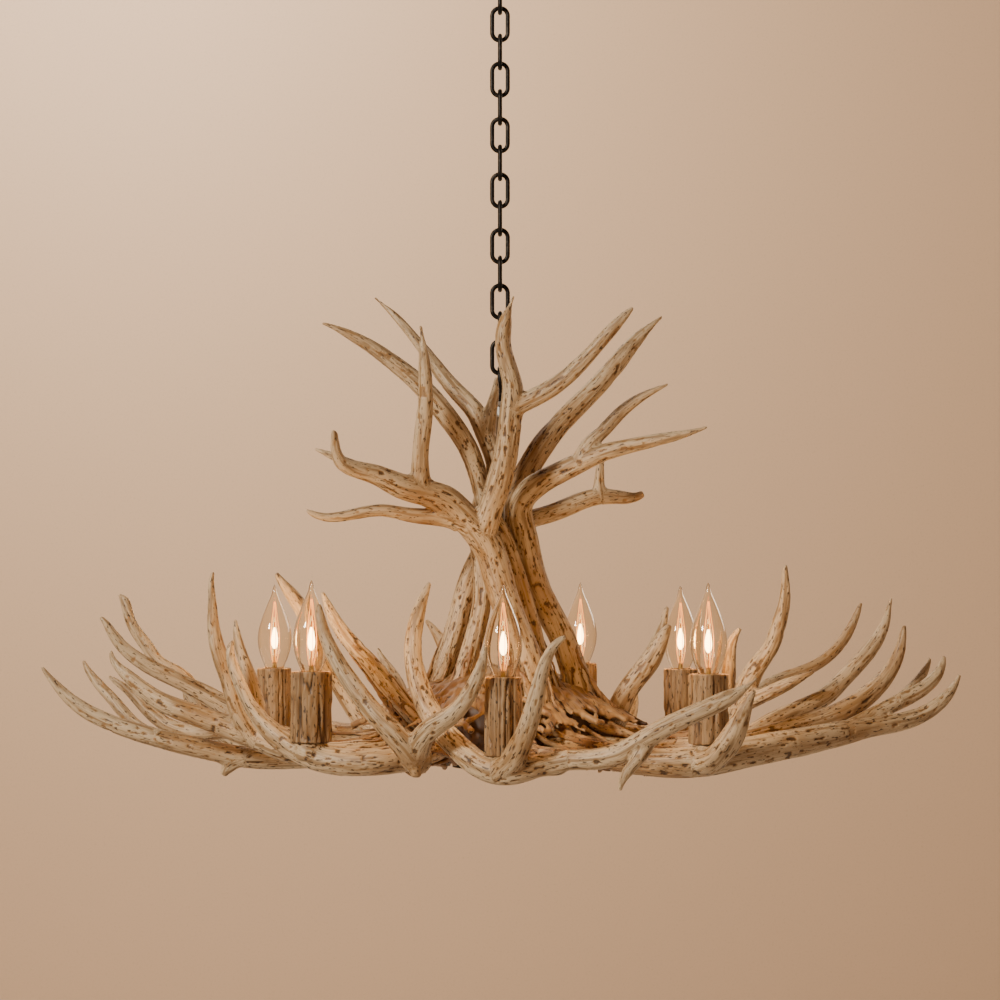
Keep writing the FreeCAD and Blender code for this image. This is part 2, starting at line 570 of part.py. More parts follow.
def glass_shell(x, y, top):
    """The torpedo envelope: open where it meets the screw base, closed at its drawn tip."""
    radius = sheet.get("glass_radius")
    tip = sheet.get("glass_height")

    def envelope(inset):
        side = Part.BSplineCurve()
        side.interpolate([Vector(radius * share - inset, 0, rise) for rise, share in GLASS_PROFILE]
                         + [Vector(0, 0, tip - inset)])
        low, high = GLASS_PROFILE[0][0], tip - inset
        first = Vector(radius * GLASS_PROFILE[0][1] - inset, 0, low)
        edges = [side.toShape(), Part.makeLine(Vector(0, 0, high), Vector(0, 0, low)),
                 Part.makeLine(Vector(0, 0, low), first)]
        return Part.Face(Part.Wire(edges)).revolve(Vector(0, 0, 0), Vector(0, 0, 1), WHOLE_TURN)

    shell = envelope(0).cut(envelope(sheet.get("glass_wall")))
    shell.translate(Vector(x, y, top))
    return shell


def bulb(number):
    """One bulb: its glass, and its screw base with the stem and filament standing in it."""
    x, y, top, *_ = LAMPS[number - 1]
    sub_part(shaped(f"bulb_{number}_envelope", glass_shell(x, y, top)), f"bulb_{number}_glass")
    at = (x, y)
    neck = top + GLASS_PROFILE[0][0]
    name = f"bulb_{number}_"
    screw_bottom = as_size(neck) - cell("lamp_screw_length")
    screw = rod(name + "screw", cell("lamp_screw_radius"), screw_bottom, cell("lamp_screw_length"), at)
    contact = cone(name + "contact", cell("contact_radius"), cell("contact_flare"),
                   screw_bottom - cell("contact_height"), cell("contact_height"), at)
    stem = cone(name + "stem", cell("stem_foot_radius"), cell("stem_tip_radius"), neck,
                cell("stem_rise"), at)
    filament = rod(name + "filament", cell("filament_radius"), cell("stem_rise") + neck,
                   cell("filament_length"), at)
    sub_part(fuse(name + "mount", screw, contact, stem, filament), f"bulb_{number}_base")


# ---------------------------------------------------------------- hub and fixture hardware

def hub_mound():
    """The rough mound that every antler is set into, before their sockets are cut."""
    top = -sheet.get("hub_top")
    bottom = top - sheet.get("hub_depth")
    radius = sheet.get("hub_radius")
    crest, shoulder, flank, rim = 30.0, 0.62 * radius, 0.88 * radius, 0.95 * radius
    side = Part.BSplineCurve()
    side.interpolate([Vector(crest, 0, top), Vector(shoulder, 0, top - 13),
                      Vector(flank, 0, top - 27), Vector(radius, 0, top - 46),
                      Vector(radius - 2, 0, top - 62), Vector(rim, 0, bottom)])
    edges = [Part.makeLine(Vector(0, 0, top), Vector(crest, 0, top)), side.toShape(),
             Part.makeLine(Vector(rim, 0, bottom), Vector(0, 0, bottom)),
             Part.makeLine(Vector(0, 0, bottom), Vector(0, 0, top))]
    mound = Part.Face(Part.Wire(edges)).revolve(Vector(0, 0, 0), Vector(0, 0, 1), WHOLE_TURN)
    stretch = FreeCAD.Matrix()
    stretch.scale(1, sheet.get("hub_stretch"), 1)
    stretch.move(0, sheet.get("hub_offset"), 0)
    return mound.transformGeometry(stretch)


def butt_screw(route):
    """The screw that goes up through the hub into a ring antler's butt."""
    x, y, z, _ = route[0]
    reach = math.hypot(x, y)
    inset = 2.0
    at = Vector(x * (reach + inset) / reach, y * (reach + inset) / reach, 0)
    bottom = -sheet.get("hub_top") - sheet.get("hub_depth")
    shank = Part.makeCylinder(sheet.get("screw_radius"), z - bottom, at + Vector(0, 0, bottom))
    thick = sheet.get("screw_head_height")
    head = Part.makeCylinder(2 * sheet.get("screw_radius"), thick, at + Vector(0, 0, bottom - thick))
    return head.fuse(shank)


def antlers_and_hub():
    """Every antler, with its lamp seat and screw hole, and the hub cut to seat them all."""
    screws = {name: butt_screw(limbs[0]) for name, limbs in RING.items()}
    carriers = {lamp[5]: lamp for lamp in LAMPS}
    seated = []
    for name, limbs in {**CROWN, **RING}.items():
        extras, holes = [], []
        if name in carriers:
            boss, holes = lamp_boss(carriers[name])
            extras = [boss]
        if name in screws:
            holes = holes + [screws[name]]
        shape = antler_shape(limbs, STOUTNESS.get(name, 1.0), extras)
        if holes:
            shape = shape.cut(holes)
        shape = max(shape.Solids, key=lambda solid: solid.Volume)
        sub_part(shaped(name + "_shape", shape), name)
        seated.append(shape)
    stem_hole = Part.makeCylinder(sheet.get("thread_radius"), 400, Vector(0, 0, -900))
    hub = hub_mound().cut(seated + list(screws.values()) + [stem_hole])
    hub = max(hub.Solids, key=lambda solid: solid.Volume)
    sub_part(shaped("hub_shape", hub), "hub")
    sub_part(shaped("screw_group", Part.makeCompound(list(screws.values()))), "antler_screws")


def fixture_hardware():
    """The loop that hangs on the last link, the hollow stem, its nuts, the cover and the finial."""
    thread = cell("thread_radius")
    stem_bottom = -cell("stem_top") - cell("stem_length")
    last_inside = link_centre(LINKS) - (cell("link_pitch") + cell("contact_gap")) * 0.5
    ring_centre = last_inside + cell("contact_gap") - cell("ring_radius") + cell("ring_wire")
    neck_top = ring_centre - cell("ring_radius") + 0.5
    neck_length = cell("fixture_neck_length")
    neck_bottom = neck_top - neck_length
    neck = rod("fixture_neck", cell("fixture_neck_radius"), neck_bottom, neck_length)
    body = fuse("fixture_loop_body", neck,
                torus("fixture_ring", cell("ring_radius"), cell("ring_wire"), ring_centre, False))
    sub_part(cut("fixture_loop_cut", body,
                 rod("fixture_thread", thread, neck_bottom - 1, -cell("stem_top") - neck_bottom + 1)),
             "fixture_loop")
    sub_part(cut("stem", rod("stem_blank", thread, stem_bottom, cell("stem_length")),
                 rod("stem_bore", cell("thread_bore"), stem_bottom - 1, cell("stem_length") + 2)),
             "stem_rod")
    nuts = []
    hub_bottom = -cell("hub_top") - cell("hub_depth")
    for spot, height in (("loop", neck_bottom - cell("nut_height")), ("hub", -cell("hub_top"))):
        blank = hexagon(f"{spot}_nut_blank", cell("nut_radius"), height, cell("nut_height"))
        nuts.append(cut(f"{spot}_nut", blank,
                        rod(f"{spot}_nut_bore", thread, height - 1, cell("nut_height") + 2)))
    sub_part(group("stem_nut_group", *nuts), "stem_nuts")
    cover_bottom = hub_bottom - cell("cover_height")
    sub_part(cut("cover", rod("cover_blank", cell("cover_radius"), cover_bottom,
                              cell("cover_height"), (0, cell("cover_offset"))),
                 rod("cover_hole", thread, cover_bottom - 1, cell("cover_height") + 2)), "hub_cover")
    knob = cone("finial_knob", cell("knob_top_radius"), cell("finial_radius"),
                cover_bottom - cell("knob_height"), cell("knob_height"))
    sub_part(cut("finial_cut", knob, rod("finial_thread", thread, stem_bottom, 60)), "finial")


def check_and_write():
    """Stop if anything failed to build, then write one STEP file for every sub-part."""
    doc.recompute()
    for thing in doc.Objects:
        if {"Invalid", "Error"} & set(thing.State):
            raise RuntimeError(f"{thing.Name} did not build: {thing.State}")
    os.makedirs("parts", exist_ok=True)
    for thing in sub_parts:
        shape = thing.Shape
        if shape.isNull() or not shape.isValid() or not shape.Solids:
            raise RuntimeError(f"{thing.Label} has no valid solid")
        shape.exportStep(f"parts/{thing.Label}.step")
    print(len(sub_parts), "sub-parts written")


ceiling_hardware()
for link_number in range(1, LINKS + 1):
    chain_link(link_number)
fixture_hardware()
antlers_and_hub()
lamp_holders()
for bulb_number in range(1, LIGHTS + 1):
    bulb(bulb_number)
check_and_write()
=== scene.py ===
"""Dress the antler chandelier: carved antlers, root-bound hub, bark sleeves, chain and lit bulbs."""

from __future__ import annotations

import json
import logging
from dataclasses import dataclass
from enum import Enum
from typing import Any

import bpy
import numpy as np
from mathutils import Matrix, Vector
from mathutils.bvhtree import BVHTree
from mathutils.kdtree import KDTree

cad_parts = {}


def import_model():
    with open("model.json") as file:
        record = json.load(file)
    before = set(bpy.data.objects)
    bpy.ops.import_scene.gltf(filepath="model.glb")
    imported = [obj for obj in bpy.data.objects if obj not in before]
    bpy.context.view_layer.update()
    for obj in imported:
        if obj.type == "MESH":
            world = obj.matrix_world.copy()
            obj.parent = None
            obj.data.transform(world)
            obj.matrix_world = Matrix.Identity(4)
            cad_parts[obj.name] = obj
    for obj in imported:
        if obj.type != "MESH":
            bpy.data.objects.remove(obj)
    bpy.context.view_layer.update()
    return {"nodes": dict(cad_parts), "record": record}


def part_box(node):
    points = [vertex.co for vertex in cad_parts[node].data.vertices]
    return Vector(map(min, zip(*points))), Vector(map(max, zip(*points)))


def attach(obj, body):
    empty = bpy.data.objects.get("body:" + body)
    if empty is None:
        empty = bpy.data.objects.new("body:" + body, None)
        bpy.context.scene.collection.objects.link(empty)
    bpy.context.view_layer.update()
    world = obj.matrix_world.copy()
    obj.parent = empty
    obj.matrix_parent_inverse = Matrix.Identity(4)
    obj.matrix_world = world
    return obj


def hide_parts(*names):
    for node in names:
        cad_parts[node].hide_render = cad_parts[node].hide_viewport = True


Colour = tuple[float, float, float, float]
Triple = tuple[float, float, float]
Route = list[tuple[float, float, float, float]]
Sockets = dict[str, bpy.types.NodeSocket]

LOG = logging.getLogger("chandelier")
logging.basicConfig(level=logging.INFO)

MM = 0.001
LATTICE = 32  # cells along each side of the repeating noise
LIMB_OFFSET = 0.37  # metres between the grain of one limb and the next
BUMP_DISTANCE = 0.0008
MERGE_DISTANCE = 0.00002
CAMERA_DISTANCE = 3.0
CAMERA_HEIGHT = -0.670
CAMERA_TILT = 1.43  # degrees upwards
WALL = 4.5
FLOOR = -1.75
ROOM = 12.0

# Height of the mound, as a share of its whole height, at shares of its reach.
MOUND_SHARES = (0.0, 0.35, 0.75, 1.05, 1.42)
MOUND_RISES = (1.22, 1.2, 0.98, 0.70, 0.43)

# Antler routes in millimetres: each limb is a list of (x, y, z, radius) from root to tip.

CROWN: dict[str, list[Route]] = {
    "crown_front": [
        [(37, -62, -815, 17), (30, -60, -765, 14.5), (1, -52, -684, 14.5), (-13, -48, -640, 15.5),
         (-31, -55, -617, 14.5), (-61, -66, -593, 14.5), (-97, -80, -583, 13), (-120, -90, -573, 10.5),
         (-142, -100, -567, 8.5), (-154, -108, -559, 7), (-160, -112, -547, 5), (-159, -114, -531, 1.8)],
        [(-140, -98, -566, 7), (-152, -90, -560, 5.5), (-164, -80, -554, 4), (-181, -70, -547, 1.6)],
        [(-78, -72, -587, 12), (-78, -76, -566, 9.5), (-77, -80, -546, 8.5), (-73, -86, -510, 8.3),
         (-73, -92, -471, 6.5), (-77, -98, -428, 1.6)],
        [(-40, -56, -620, 9), (-67, -58, -613, 8.5), (-83, -60, -612, 7.5), (-106, -66, -608, 7),
         (-132, -74, -608, 6.3), (-150, -78, -613, 6), (-172, -84, -613, 4.5), (-188, -88, -607, 1.6)],
        [(-16, -50, -626, 13.5), (-9, -58, -604, 12.5), (3, -68, -565, 12.5), (11, -76, -513, 11.5),
         (12, -80, -485, 10), (6, -83, -461, 8.5), (3, -86, -436, 7.3), (9, -89, -412, 4.8),
         (14, -91, -399, 1.8)],
        [(13, -77, -507, 9.5), (32, -80, -498, 9), (55, -84, -485, 8.5), (86, -90, -457, 7.5),
         (112, -96, -428, 5.8), (129, -100, -411, 1.8)],
    ],
    "crown_right": [
        [(86, 10, -815, 17), (80, 9, -791, 15), (59, 4, -726, 13.5), (36, -4, -680, 13.5),
         (23, -10, -625, 13.5), (20, -16, -601, 13), (38, -24, -580, 11.5), (66, -32, -565, 10.5),
         (91, -40, -553, 9.8), (118, -48, -545, 8), (162, -58, -536, 6), (203, -66, -525, 1.8)],
        [(80, -37, -557, 8.5), (89, -36, -540, 8), (106, -36, -524, 7), (118, -38, -511, 6.2),
         (139, -42, -495, 5.2), (166, -46, -482, 1.6)],
    ],
    "crown_right_rear": [
        [(-72, 14, -815, 15), (-62, 16, -776, 11.8), (-45, 20, -727, 11.5), (-30, 24, -675, 11.5),
         (-3, 28, -621, 12), (23, 34, -573, 12), (47, 40, -534, 11.5), (70, 46, -507, 11),
         (106, 52, -470, 10), (137, 58, -433, 7), (166, 62, -406, 1.8)],
        [(102, 52, -474, 8), (122, 62, -457, 6), (141, 70, -436, 1.8)],
        [(0, 29, -620, 10.5), (18, 35, -616, 10.5), (36, 39, -612, 10), (70, 46, -600, 9.5),
         (101, 52, -590, 9), (124, 56, -591, 7), (146, 60, -587, 4)],
        [(102, 52, -590, 8.5), (101, 52, -575, 6), (102, 50, -558, 4.5), (103, 48, -541, 1.8)],
    ],
    "crown_left": [
        [(55, -32, -815, 14), (47, -30, -784, 11.5), (33, -29, -734, 10.5), (18, -28, -680, 10),
         (5, -26, -640, 10), (-11, -31, -608, 10), (-20, -36, -579, 10), (-33, -42, -543, 10.5),
         (-56, -48, -509, 10.3), (-79, -52, -483, 9.3), (-110, -56, -458, 8), (-139, -60, -439, 6),
         (-175, -64, -423, 1.6)],
    ],
    "crown_rear": [
        [(-48, -14, -815, 13), (-38, -12, -775, 10.5), (-26, -10, -735, 9.5), (-17, -8, -690, 9.5),
         (-21, -3, -640, 9.5), (-21, -5, -610, 9.5), (-14, -11, -590, 9.5), (-4, -20, -566, 10),
         (-11, -22, -538, 10.5), (-26, -15, -506, 9.5), (-45, -8, -485, 8), (-73, -2, -449, 6.5),
         (-100, 4, -416, 4.5), (-126, 10, -391, 1.6)],
        [(-12, -21, -530, 9), (-9, -22, -508, 7), (-5, -21, -488, 4.6), (-4, -20, -473, 1.6)],
    ],
}

RING: dict[str, list[Route]] = {
    "ring_front": [
        [(14, -72, -838, 11.5), (24, -130, -838, 11), (34, -190, -841, 11), (52, -230, -840, 10.5),
         (83, -245, -839, 10), (108, -254, -834, 10.5), (130, -264, -821, 9.5),
         (156, -274, -805, 9), (199, -284, -785, 8), (232, -292, -763, 2)],
        [(62, -238, -840, 9.5), (34, -238, -846, 11), (14, -238, -850, 12.5), (-8, -231, -850, 12.5),
         (-30, -214, -838, 12), (-50, -194, -820, 11.5), (-66, -178, -798, 11), (-77, -168, -772, 10),
         (-82, -161, -745, 9), (-81, -155, -722, 7.8), (-75, -148, -698, 5.8), (-67, -140, -677, 2)],
        [(0, -236, -850, 11.5), (16, -250, -832, 11.5), (26, -258, -806, 9.3), (34, -264, -776, 7.5),
         (43, -268, -745, 5.6), (60, -272, -726, 2)],
        [(134, -264, -822, 7), (125, -268, -838, 6), (115, -270, -850, 5.3), (109, -270, -866, 2.2)],
    ],
    "ring_front_left": [
        [(-52, -66, -838, 12.5), (-62, -112, -838, 12.5), (-78, -156, -840, 13),
         (-104, -182, -844, 13), (-140, -180, -846, 12.5), (-178, -167, -840, 12),
         (-206, -156, -826, 10.5), (-231, -148, -803, 8), (-247, -143, -775, 6.5),
         (-255, -140, -753, 5), (-254, -138, -732, 1.8)],
        [(-82, -166, -840, 12), (-78, -194, -841, 14), (-84, -212, -832, 13.5),
         (-97, -216, -818, 11.5), (-111, -214, -804, 10.5), (-129, -208, -783, 9.3),
         (-148, -202, -756, 8), (-165, -196, -722, 6), (-169, -192, -697, 1.8)],
        [(-80, -202, -839, 12.5), (-73, -220, -823, 11.5), (-62, -231, -810, 10.5),
         (-45, -239, -799, 9), (-29, -245, -780, 7.5), (-19, -249, -759, 6), (-14, -252, -734, 1.8)],
        [(-78, -202, -838, 11), (-78, -207, -848, 9), (-78, -210, -858, 4)],
    ],
    "ring_left_inner": [
        [(-62, -46, -816, 11), (-80, -66, -812, 10.5), (-93, -83, -798, 9.8), (-105, -92, -783, 9.5),
         (-125, -94, -757, 9), (-149, -97, -729, 7.5), (-164, -99, -705, 5.5), (-172, -100, -686, 1.8)],
    ],
    "ring_left_mid": [
        [(-78, -30, -838, 12), (-140, -74, -844, 13), (-194, -90, -842, 12.5), (-243, -84, -825, 12),
         (-277, -78, -813, 11), (-309, -74, -802, 10), (-329, -70, -794, 9), (-352, -66, -779, 7.8),
         (-368, -64, -765, 6), (-381, -62, -744, 1.8)],
        [(-238, -86, -827, 10.5), (-252, -90, -804, 9.5), (-264, -91, -769, 8.5),
         (-274, -91, -740, 7.3), (-279, -90, -705, 5.3), (-278, -90, -667, 1.8)],
        [(-218, -86, -834, 9), (-236, -62, -802, 7.5), (-243, -50, -776, 6.8), (-251, -43, -757, 6),
         (-258, -40, -736, 4.8), (-261, -38, -714, 1.6)],
    ],
    "ring_left_low": [
        [(-84, -6, -838, 11.5), (-140, -20, -846, 12.5), (-190, -25, -849, 12.5),
         (-252, -28, -850, 11), (-297, -28, -841, 10.5), (-347, -26, -829, 9.5),
         (-387, -24, -816, 8.5), (-413, -22, -803, 7.5), (-434, -20, -786, 6), (-455, -18, -761, 1.8)],
        [(-340, -26, -830, 8), (-373, -4, -810, 6.5), (-389, 5, -793, 6), (-406, 10, -775, 5),
         (-418, 12, -755, 1.6)],
        [(-250, -28, -849, 9), (-268, -28, -860, 6.5), (-274, -28, -868, 4)],
    ],
    "ring_left": [
        [(-84, 20, -838, 11.5), (-145, 30, -842, 12.5), (-200, 32, -838, 12.5), (-243, 27, -826, 12),
         (-276, 22, -803, 10.5), (-324, 16, -776, 9), (-349, 12, -763, 8), (-369, 10, -750, 7),
         (-386, 8, -732, 5.5), (-400, 6, -712, 1.8)],
        [(-250, 27, -823, 9.5), (-300, 44, -830, 8.5), (-332, 50, -825, 8), (-354, 56, -811, 7),
         (-377, 60, -790, 5.5), (-399, 62, -773, 1.6)],
        [(-104, 25, -838, 9), (-98, 33, -806, 8), (-103, 38, -782, 7), (-114, 40, -763, 5.5),
         (-124, 42, -744, 1.8)],
    ],
    "ring_left_back": [
        [(-74, 48, -838, 12), (-130, 80, -842, 12.5), (-185, 98, -846, 12.5), (-233, 104, -849, 12.5),
         (-275, 108, -838, 11), (-305, 110, -812, 10), (-330, 110, -776, 8.5), (-344, 111, -767, 8.3),
         (-361, 112, -752, 7.5), (-376, 113, -730, 6.3), (-386, 114, -710, 5), (-395, 114, -690, 1.8)],
        [(-268, 108, -840, 9), (-300, 150, -835, 8), (-325, 185, -815, 6.5), (-338, 205, -780, 1.8)],
    ],
    "ring_back_left": [
        [(-46, 70, -838, 12), (-92, 130, -842, 13), (-135, 160, -828, 12), (-163, 165, -791, 10),
         (-187, 161, -749, 8.5), (-211, 155, -702, 6.5), (-224, 152, -684, 5), (-235, 150, -668, 1.8)],
        [(-85, 122, -842, 10), (-60, 175, -815, 9), (-52, 198, -770, 7.5), (-64, 202, -738, 5),
         (-79, 203, -718, 1.8)],
        [(-128, 156, -832, 10), (-170, 205, -838, 9), (-212, 238, -820, 7.5), (-236, 252, -790, 1.8)],
    ],
    "ring_back": [
        [(18, 80, -838, 12.5), (54, 150, -842, 13), (86, 210, -848, 13), (84, 250, -842, 11.5),
         (60, 278, -822, 9.5), (44, 284, -785, 7), (46, 280, -745, 2)],
        [(88, 214, -847, 10), (118, 250, -842, 9), (140, 282, -826, 7.5), (150, 304, -798, 1.8)],
        [(70, 262, -835, 9), (20, 290, -838, 8), (-22, 300, -822, 7), (-46, 302, -790, 1.8)],
    ],
    "ring_right_back": [
        [(68, 42, -838, 12), (118, 66, -836, 12.5), (152, 88, -841, 12.5), (187, 110, -848, 13),
         (216, 132, -834, 10.5), (234, 145, -805, 8), (240, 150, -769, 6.5), (243, 150, -743, 5),
         (252, 148, -726, 1.8)],
        [(108, 60, -836, 11), (118, 40, -812, 10), (129, 30, -786, 9), (146, 26, -764, 8.5),
         (160, 24, -741, 7), (171, 22, -720, 2)],
        [(143, 27, -767, 7), (160, 37, -736, 5.5), (169, 44, -702, 1.8)],
        [(196, 116, -845, 9.5), (216, 178, -842, 9), (226, 226, -826, 8), (226, 258, -790, 1.8)],
    ],
    "ring_right_mid": [
        [(88, 8, -838, 11.5), (145, -4, -841, 12.5), (198, -24, -836, 12.5), (228, -38, -818, 12),
         (238, -43, -796, 11.5), (246, -48, -771, 10.5), (260, -54, -749, 9), (273, -58, -721, 7.5),
         (279, -62, -688, 5.5), (280, -64, -660, 1.8)],
        [(240, -44, -796, 9), (257, -58, -788, 8), (280, -68, -777, 6.5), (306, -76, -764, 1.8)],
        [(236, -42, -800, 8.5), (256, -14, -786, 7), (276, 2, -775, 6.5), (302, 14, -767, 6.3),
         (322, 22, -758, 6), (342, 28, -741, 5.5), (356, 32, -720, 4.5), (365, 34, -698, 1.6)],
    ],
    "ring_right": [
        [(84, -26, -838, 12), (140, -62, -842, 12.5), (195, -92, -838, 12.5), (241, -105, -830, 12.5),
         (285, -96, -819, 12), (325, -84, -807, 11), (349, -76, -794, 10), (368, -70, -779, 9),
         (383, -66, -761, 7.5), (392, -64, -740, 5.5), (396, -62, -719, 1.8)],
        [(232, -104, -831, 10), (263, -75, -815, 10.5), (294, -50, -802, 10), (315, -42, -793, 9.5),
         (330, -38, -782, 9), (352, -32, -760, 8), (370, -28, -739, 7), (382, -26, -716, 5),
         (388, -24, -693, 1.8)],
    ],
    "ring_front_right": [
        [(50, -66, -838, 11.5), (84, -128, -840, 12.5), (130, -168, -845, 13), (185, -184, -845, 15),
         (223, -178, -838, 14.5), (257, -160, -833, 14.5), (290, -140, -828, 14),
         (327, -118, -822, 12),
         (375, -96, -814, 9.5), (399, -88, -809, 8.5), (422, -84, -798, 7), (438, -81, -783, 5),
         (447, -80, -767, 1.8)],
        [(188, -186, -846, 13), (203, -206, -838, 12), (216, -218, -818, 11), (225, -224, -796, 8),
         (235, -230, -776, 2)],
        [(332, -116, -821, 9.5), (366, -84, -804, 8), (391, -76, -792, 7.8), (413, -68, -781, 7.5),
         (428, -62, -767, 5.5), (435, -58, -749, 1.8)],
        [(388, -77, -793, 6.5), (406, -52, -779, 5.5), (418, -38, -766, 4.5), (426, -28, -752, 1.6)],
    ],
}


# Each lamp: x, y, height of the sleeve top, sleeve radius, sleeve length and carrier, in mm.

LAMPS = [
    (3, -229, -764, 17.0, 73, "ring_front"),
    (196, -176, -763, 18.8, 66, "ring_front_right"),
    (187, 110, -767, 17.5, 69, "ring_right_back"),
    (86, 210, -764, 17.0, 72, "ring_back"),
    (-233, 104, -766, 17.5, 71, "ring_left_back"),
    (-178, -166, -761, 19.0, 67, "ring_front_left"),
]

# ------------------------------------------------------------------ finishes


class Slot(str, Enum):
    """Material slots of the record."""

    ANTLER = "antler"
    HUB = "hub_bark"
    SLEEVE = "sleeve_bark"
    GLASS = "clear_glass"
    BRASS = "lamp_brass"
    SHELL = "socket_shell"
    STEEL = "plated_steel"
    BLACK = "black_metal"


class NodeCanvas:
    """Named helpers for placing shader nodes in a material or in a group."""

    def __init__(self, tree: bpy.types.NodeTree) -> None:
        """Work on one node tree.

        Args:
            tree: The tree to place nodes in.
        """
        self.tree = tree

    def link(self, source: bpy.types.NodeSocket, target: bpy.types.NodeSocket) -> None:
        """Join two sockets."""
        self.tree.links.new(source, target)

    def attribute(self, name: str, output: str = "Vector") -> bpy.types.NodeSocket:
        """Read a mesh attribute."""
        node = self.tree.nodes.new("ShaderNodeAttribute")
        node.attribute_name = name
        return node.outputs[output]

    def position(self) -> bpy.types.NodeSocket:
        """Read object coordinates."""
        return self.tree.nodes.new("ShaderNodeTexCoord").outputs["Object"]

    def noise(self, place: bpy.types.NodeSocket, scale: Triple, detail: float) -> bpy.types.NodeSocket:
        """Place noise that is stretched differently along each axis.

        Args:
            place: The coordinates that it reads.
            scale: Features per metre along each axis.
            detail: Octaves of detail.

        Returns:
            The noise value socket.
        """
        mapping = self.tree.nodes.new("ShaderNodeMapping")
        mapping.inputs["Scale"].default_value = scale
        node = self.tree.nodes.new("ShaderNodeTexNoise")
        node.inputs["Scale"].default_value = 1.0
        node.inputs["Detail"].default_value = detail
        self.link(place, mapping.inputs["Vector"])
        self.link(mapping.outputs["Vector"], node.inputs["Vector"])
        return node.outputs["Fac"]

    def spread(self, value: bpy.types.NodeSocket, low: float, high: float) -> bpy.types.NodeSocket:
        """Spread a 0 to 1 value between two numbers."""
        node = self.tree.nodes.new("ShaderNodeMapRange")
        node.inputs["To Min"].default_value = low
        node.inputs["To Max"].default_value = high
        self.link(value, node.inputs["Value"])
        return node.outputs["Result"]

    def mask(self, value: bpy.types.NodeSocket, low: float, high: float,
             strength: float = 1.0) -> bpy.types.NodeSocket:
        """Turn a value into a mask.

        Args:
            value: The socket to read.
            low: Value where the mask leaves 0.
            high: Value where the mask is full.
            strength: What the full mask is.

        Returns:
            The mask socket.
        """
        node = self.tree.nodes.new("ShaderNodeMapRange")
        node.interpolation_type = "SMOOTHSTEP"
        node.inputs["From Min"].default_value = low
        node.inputs["From Max"].default_value = high
        node.inputs["To Max"].default_value = strength
        self.link(value, node.inputs["Value"])
        return node.outputs["Result"]

    def mix(self, first: bpy.types.NodeSocket, second: bpy.types.NodeSocket,
            mask: bpy.types.NodeSocket) -> bpy.types.NodeSocket:
        """Mix two colour sockets.

        Args:
            first: Colour where the mask is 0.
            second: Colour where the mask is 1.
            mask: The mask socket.

        Returns:
            The mixed colour socket.
        """
        node = self.tree.nodes.new("ShaderNodeMix")
        node.data_type = "RGBA"
        self.link(mask, node.inputs[0])
        self.link(first, node.inputs[6])
        self.link(second, node.inputs[7])
        return node.outputs[2]


def new_group(name: str, colours: tuple[str, ...]) -> tuple[NodeCanvas, Sockets, bpy.types.Node]:
    """Start a shader node group that takes colours and puts out Color, Roughness and Height.

    Args:
        name: The group's name.
        colours: Names of its colour inputs.

    Returns:
        The canvas, the colour sockets inside the group, and its output node.
    """
    tree = bpy.data.node_groups.new(name, "ShaderNodeTree")
    for colour in colours:
        tree.interface.new_socket(colour, in_out="INPUT", socket_type="NodeSocketColor")
    tree.interface.new_socket("Color", in_out="OUTPUT", socket_type="NodeSocketColor")
    for value in ("Roughness", "Height"):
        tree.interface.new_socket(value, in_out="OUTPUT", socket_type="NodeSocketFloat")
    entry = tree.nodes.new("NodeGroupInput")
    leave = tree.nodes.new("NodeGroupOutput")
    return NodeCanvas(tree), {colour: entry.outputs[colour] for colour in colours}, leave


def grain_and_shade_group() -> bpy.types.NodeTree:
    """Build the effect that antlers, hub and sleeves share: streaks, warm patches, dark dashes, and painted
    shade that darkens hollows and pits.

    Returns:
        The node group; it reads the grain attribute of the mesh and the attribute that marks its hollows for
        painted shade.
    """
    canvas, paint, leave = new_group("bone_grain_hollow_shade", ("Pale", "Tan", "Warm", "Dark"))
    grain = canvas.attribute("grain")
    hollow_shade = canvas.attribute("hollow_shade", "Fac")
    streaks = canvas.noise(grain, (260.0, 260.0, 15.0), 4.0)
    patches = canvas.noise(canvas.position(), (10.0, 10.0, 10.0), 3.0)
    fine = canvas.noise(grain, (900.0, 900.0, 70.0), 3.0)
    dashes = canvas.noise(grain, (520.0, 520.0, 165.0), 1.0)
    colour = canvas.mix(paint["Pale"], paint["Tan"], canvas.mask(streaks, 0.46, 0.64, 0.85))
    colour = canvas.mix(colour, paint["Warm"], canvas.mask(patches, 0.50, 0.68, 0.65))
    colour = canvas.mix(colour, paint["Tan"], canvas.mask(fine, 0.52, 0.70, 0.7))
    # Painted shade: the hollows that the mesh marks turn warm, then dark, as if in shade.
    colour = canvas.mix(colour, paint["Warm"], canvas.mask(hollow_shade, 0.05, 0.60, 0.75))
    colour = canvas.mix(colour, paint["Dark"], canvas.mask(hollow_shade, 0.40, 0.95, 0.8))
    colour = canvas.mix(colour, paint["Dark"], canvas.mask(dashes, 0.635, 0.67, 0.85))
    canvas.link(colour, leave.inputs["Color"])
    canvas.link(canvas.spread(streaks, 0.42, 0.66), leave.inputs["Roughness"])
    canvas.link(fine, leave.inputs["Height"])
    return canvas.tree


def skin_group() -> bpy.types.NodeTree:
    """Build the fine uneven skin that every metal and plastic shares.

    Returns:
        The node group; it reads object coordinates.
    """
    canvas, paint, leave = new_group("uneven_skin", ("Clean", "Worn"))
    cloud = canvas.noise(canvas.position(), (180.0, 180.0, 180.0), 4.0)
    canvas.link(canvas.mix(paint["Clean"], paint["Worn"], canvas.mask(cloud, 0.52, 0.75)),
                leave.inputs["Color"])
    canvas.link(canvas.spread(cloud, 0.28, 0.62), leave.inputs["Roughness"])
    canvas.link(cloud, leave.inputs["Height"])
    return canvas.tree


